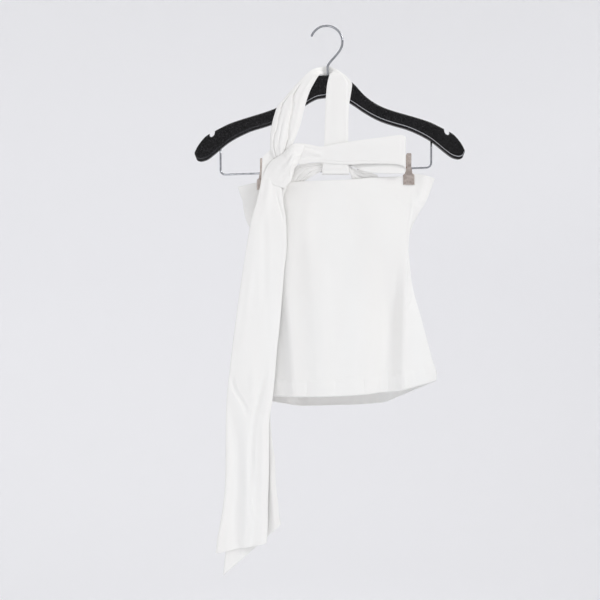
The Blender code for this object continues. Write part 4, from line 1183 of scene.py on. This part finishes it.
@dataclass
class Clip:
    """A sprung clip of two pressed plates, with ribs for the thumb and a ribbed jaw."""

    side: Side
    across: float
    hanger: Hanger
    wall: float = 0.9
    depth: float = 4.2
    top: float = 24.0
    bottom: float = -27.5
    half_tab: float = 3.6
    half_jaw: float = 8.9
    columns: int = 40
    rows: int = 108
    rib: float = 0.42
    rib_spacing: float = 3.1
    groove: float = 0.34
    tooth: float = 0.4
    tooth_spacing: float = 2.5
    lip: float = 0.3
    flange: float = 0.7
    coil_turns: float = 7.0
    coil_half: float = 4.4
    coil_wire: float = 1.0

    def plate(self, front: bool, finish: bpy.types.Material) -> None:
        """Builds one plate, from the thumb tab down to the jaw."""
        way = -1.0 if front else 1.0
        table = np.array((
            (self.bottom, self.half_jaw, self.depth - 0.05),
            (-20.0, self.half_jaw, self.depth), (-12.4, self.half_jaw, self.depth),
            (-10.6, self.half_jaw - 0.8, self.depth), (-8.8, 5.6, self.depth),
            (-6.0, 5.0, self.depth + 0.05), (-2.0, 4.6, self.depth + 0.1),
            (4.0, self.half_tab, self.depth + 0.2), (14.0, self.half_tab, self.depth + 1.0),
            (22.0, self.half_tab, self.depth + 2.2), (self.top, self.half_tab - 0.7,
                                                      self.depth + 2.5)))
        up = np.linspace(self.bottom, self.top, self.rows + 1)
        rows = monotone(table[:, 0], table[:, 1:], up)
        share = np.linspace(-1, 1, self.columns + 1)[None, :]
        across = rows[:, 0:1] * share
        out = np.repeat(rows[:, 1:2], self.columns + 1, axis=1)
        tab = ramp((up - 6.5) / 1.5) * ramp((22.8 - up) / 1.5)
        ribs = self.rib * tab * np.sin(up * math.tau / self.rib_spacing)
        out += ribs[:, None] * ramp((0.86 - abs(share)) / 0.2)
        jaw = ramp((-13.5 - up) / 1.2) * ramp((up - self.bottom - 1.4) / 1.2)
        toothed = np.cos(across * math.tau / self.tooth_spacing)
        out += jaw[:, None] * self.groove * toothed * ramp((0.9 - abs(share)) / 0.15)
        rim = ramp((self.bottom + 1.6 - up) / 1.6)
        out += self.lip * rim[:, None]
        flange = ramp((abs(share) - 0.9) / 0.1) * ramp(abs(up) / 4.0)[:, None]
        out -= self.flange * flange * np.where(up < 2, 1.0, 0.5)[:, None]
        height = np.repeat(up[:, None], self.columns + 1, axis=1)
        teeth = ramp((self.bottom + 1.5 - up) / 1.5)[:, None]
        height = height + teeth * self.tooth * toothed
        points = np.stack([self.across + across, way * out,
                           height + self.hanger.bar_height(self.across)], axis=2)
        face = "front" if front else "back"
        name = f"clip_{self.side.value}_{face}_plate"
        obj = piece(name, grid_points(points, False, name), finish, "clip_metal",
                    f"clip_{self.side.value}_{face}")
        thicken(obj, self.wall)

    def spring(self, finish: bpy.types.Material) -> None:
        """Builds the coil round the bar."""
        slope = self.hanger.bar_slope()
        centre = Vector((self.across, 0, self.hanger.bar_height(self.across)))
        radius = self.hanger.bar_wire / 2 + 0.25 + self.coil_wire / 2
        turn = Matrix.Rotation(-slope, 3, "Y")
        path = []
        steps = int(self.coil_turns * 20)
        for step in range(steps + 1):
            angle = math.tau * self.coil_turns * step / steps
            along = -self.coil_half + 2 * self.coil_half * step / steps
            spot = Vector((along, radius * math.cos(angle), radius * math.sin(angle)))
            path.append(centre + turn @ spot)
        rings = []
        for index, spot in enumerate(path):
            ahead = path[min(index + 1, steps)] - path[max(index - 1, 0)]
            ahead.normalize()
            axis = turn @ Vector((1, 0, 0))
            outward = (spot - centre) - axis * (spot - centre).dot(axis)
            outward.normalize()
            binormal = ahead.cross(outward).normalized()
            size = self.coil_wire / 2 * min(1.0, 0.1 + index / 1.5, 0.1 + (steps - index) / 1.5)
            ring = []
            for side in range(11):
                angle = math.tau * side / 10
                ring.append(tuple(spot + size * (outward * math.cos(angle)
                                                 + binormal * math.sin(angle))))
            rings.append(ring)
        name = f"clip_{self.side.value}_coil"
        mesh = grid_points(np.array(rings), True, name)
        shape = bmesh.new()
        shape.from_mesh(mesh)
        bmesh.ops.holes_fill(shape, edges=shape.edges, sides=12)
        bmesh.ops.recalc_face_normals(shape, faces=shape.faces)
        shape.to_mesh(mesh)
        shape.free()
        mesh.shade_smooth()
        piece(name, mesh, finish, "spring_wire", f"clip_{self.side.value}_spring")

    def build(self, nickel: bpy.types.Material, copper: bpy.types.Material) -> None:
        """Builds both plates and the spring."""
        self.plate(True, nickel)
        self.plate(False, nickel)
        self.spring(copper)


# Studio.


@dataclass
class Studio:
    """A pale floor that sweeps up all round, soft lights, and the camera."""

    camera_at: tuple[float, float, float] = (-0.04466, -1.6, -0.45204)
    lens: float = 58.04
    sensor: float = 36.0
    aim_height: float = -0.42
    air_colour: str = "F4F4F5"
    air_strength: float = 0.78
    floor_at: float = -1.55
    floor_radius: float = 3.4
    sweep: float = 1.2
    wall_top: float = 1.3

    def backdrop(self, board: bpy.types.Material) -> None:
        """Builds the floor and its sweep by spinning one curved line."""
        shape = bmesh.new()
        line = [Vector((0, 0, self.floor_at)), Vector((self.floor_radius - self.sweep, 0,
                                                          self.floor_at))]
        for step in range(1, 13):
            angle = math.pi / 2 * step / 12
            line.append(Vector((self.floor_radius - self.sweep + self.sweep * math.sin(angle), 0,
                                self.floor_at + self.sweep * (1 - math.cos(angle)))))
        line.append(Vector((self.floor_radius, 0, self.wall_top)))
        dots = [shape.verts.new(spot) for spot in line]
        edges = [shape.edges.new(pair) for pair in zip(dots, dots[1:])]
        bmesh.ops.spin(shape, geom=dots + edges, cent=(0, 0, 0), axis=(0, 0, 1),
                       angle=math.tau, steps=96, use_merge=True)
        bmesh.ops.remove_doubles(shape, verts=shape.verts, dist=0.0001)
        for face in shape.faces:
            if face.normal.dot(Vector((0, 0, 0.5)) - face.calc_center_median()) < 0:
                face.normal_flip()
        mesh = bpy.data.meshes.new("floor_sweep")
        shape.to_mesh(mesh)
        shape.free()
        mesh.shade_smooth()
        obj = bpy.data.objects.new("floor_sweep", mesh)
        mesh.materials.append(board)
        bpy.context.scene.collection.objects.link(obj)

    def light(self, name: str, at: tuple[float, float, float], size: float, watts: float,
              colour: tuple[float, float, float]) -> None:
        """Adds a square soft light that faces the garment.

        Args:
            name: The light's name.
            at: Its place, in metres.
            size: Its side, in metres.
            watts: Its power.
            colour: Its linear colour.
        """
        data = bpy.data.lights.new(name, "AREA")
        data.shape = "SQUARE"
        data.size = size
        data.energy = watts
        data.color = colour
        obj = bpy.data.objects.new(name, data)
        obj.location = at
        aim = Vector((0, 0, self.aim_height)) - Vector(at)
        obj.rotation_euler = aim.to_track_quat("-Z", "Y").to_euler()
        bpy.context.scene.collection.objects.link(obj)

    def strip(self, name: str, at: tuple[float, float, float], size: Point,
              watts: float) -> None:
        """Adds a long soft light that faces straight down, for the lacquer's bright edges.

        Args:
            name: The light's name.
            at: Its place, in metres.
            size: Its length and width, in metres.
            watts: Its power.
        """
        data = bpy.data.lights.new(name, "AREA")
        data.shape = "RECTANGLE"
        data.size, data.size_y = size
        data.energy = watts
        obj = bpy.data.objects.new(name, data)
        obj.location = at
        bpy.context.scene.collection.objects.link(obj)

    def build(self, board: bpy.types.Material) -> None:
        """Builds the backdrop, the lights, the air's glow and the camera."""
        self.backdrop(board)
        self.light("key", (4.2, -2.4, 2.4), 1.3, 112, (1.0, 1.0, 0.99))
        self.light("back", (-0.6, 2.2, 1.2), 1.4, 5, (1.0, 1.0, 1.0))
        self.light("low", (-0.4, -1.9, -1.1), 0.8, 6.3, (1.0, 1.0, 1.0))
        self.strip("overhead", (0.5, 0.6, 1.35), (2.8, 0.3), 12)
        world = bpy.data.worlds.new("studio air")
        world.use_nodes = True
        air = world.node_tree.nodes["Background"]
        air.inputs["Color"].default_value = linear(self.air_colour)
        air.inputs["Strength"].default_value = self.air_strength
        bpy.context.scene.world = world
        bpy.context.scene.view_settings.view_transform = "Standard"
        bpy.context.scene.view_settings.look = "None"
        data = bpy.data.cameras.new("camera")
        data.lens = self.lens
        data.sensor_width = self.sensor
        data.clip_end = 60.0
        camera = bpy.data.objects.new("camera", data)
        camera.location = self.camera_at
        camera.rotation_euler = (math.pi / 2, 0, 0)
        bpy.context.scene.collection.objects.link(camera)
        bpy.context.scene.camera = camera


def main() -> None:
    """Builds the garment, its hanger and the studio."""
    logging.basicConfig(level=logging.INFO, format="%(name)s %(message)s")
    cloth = CrepeCloth().build()
    wood = LACQUER.build(), PAINTED_HIGHLIGHT_EDGE.build(), DIM_PAINTED_HIGHLIGHT_EDGE.build()
    chrome, nickel, copper = CHROME.build(), NICKEL.build(), COPPER.build()
    hanger = Hanger()
    hanger.build(wood, chrome)
    Clip(Side.LEFT, -106.7, hanger).build(nickel, copper)
    Clip(Side.RIGHT, 135.0, hanger).build(nickel, copper)
    Scarf().build(cloth)
    Bodice().build(cloth)
    Studio().build(PaleBoard().build())


if __name__ == "__main__":
    main()
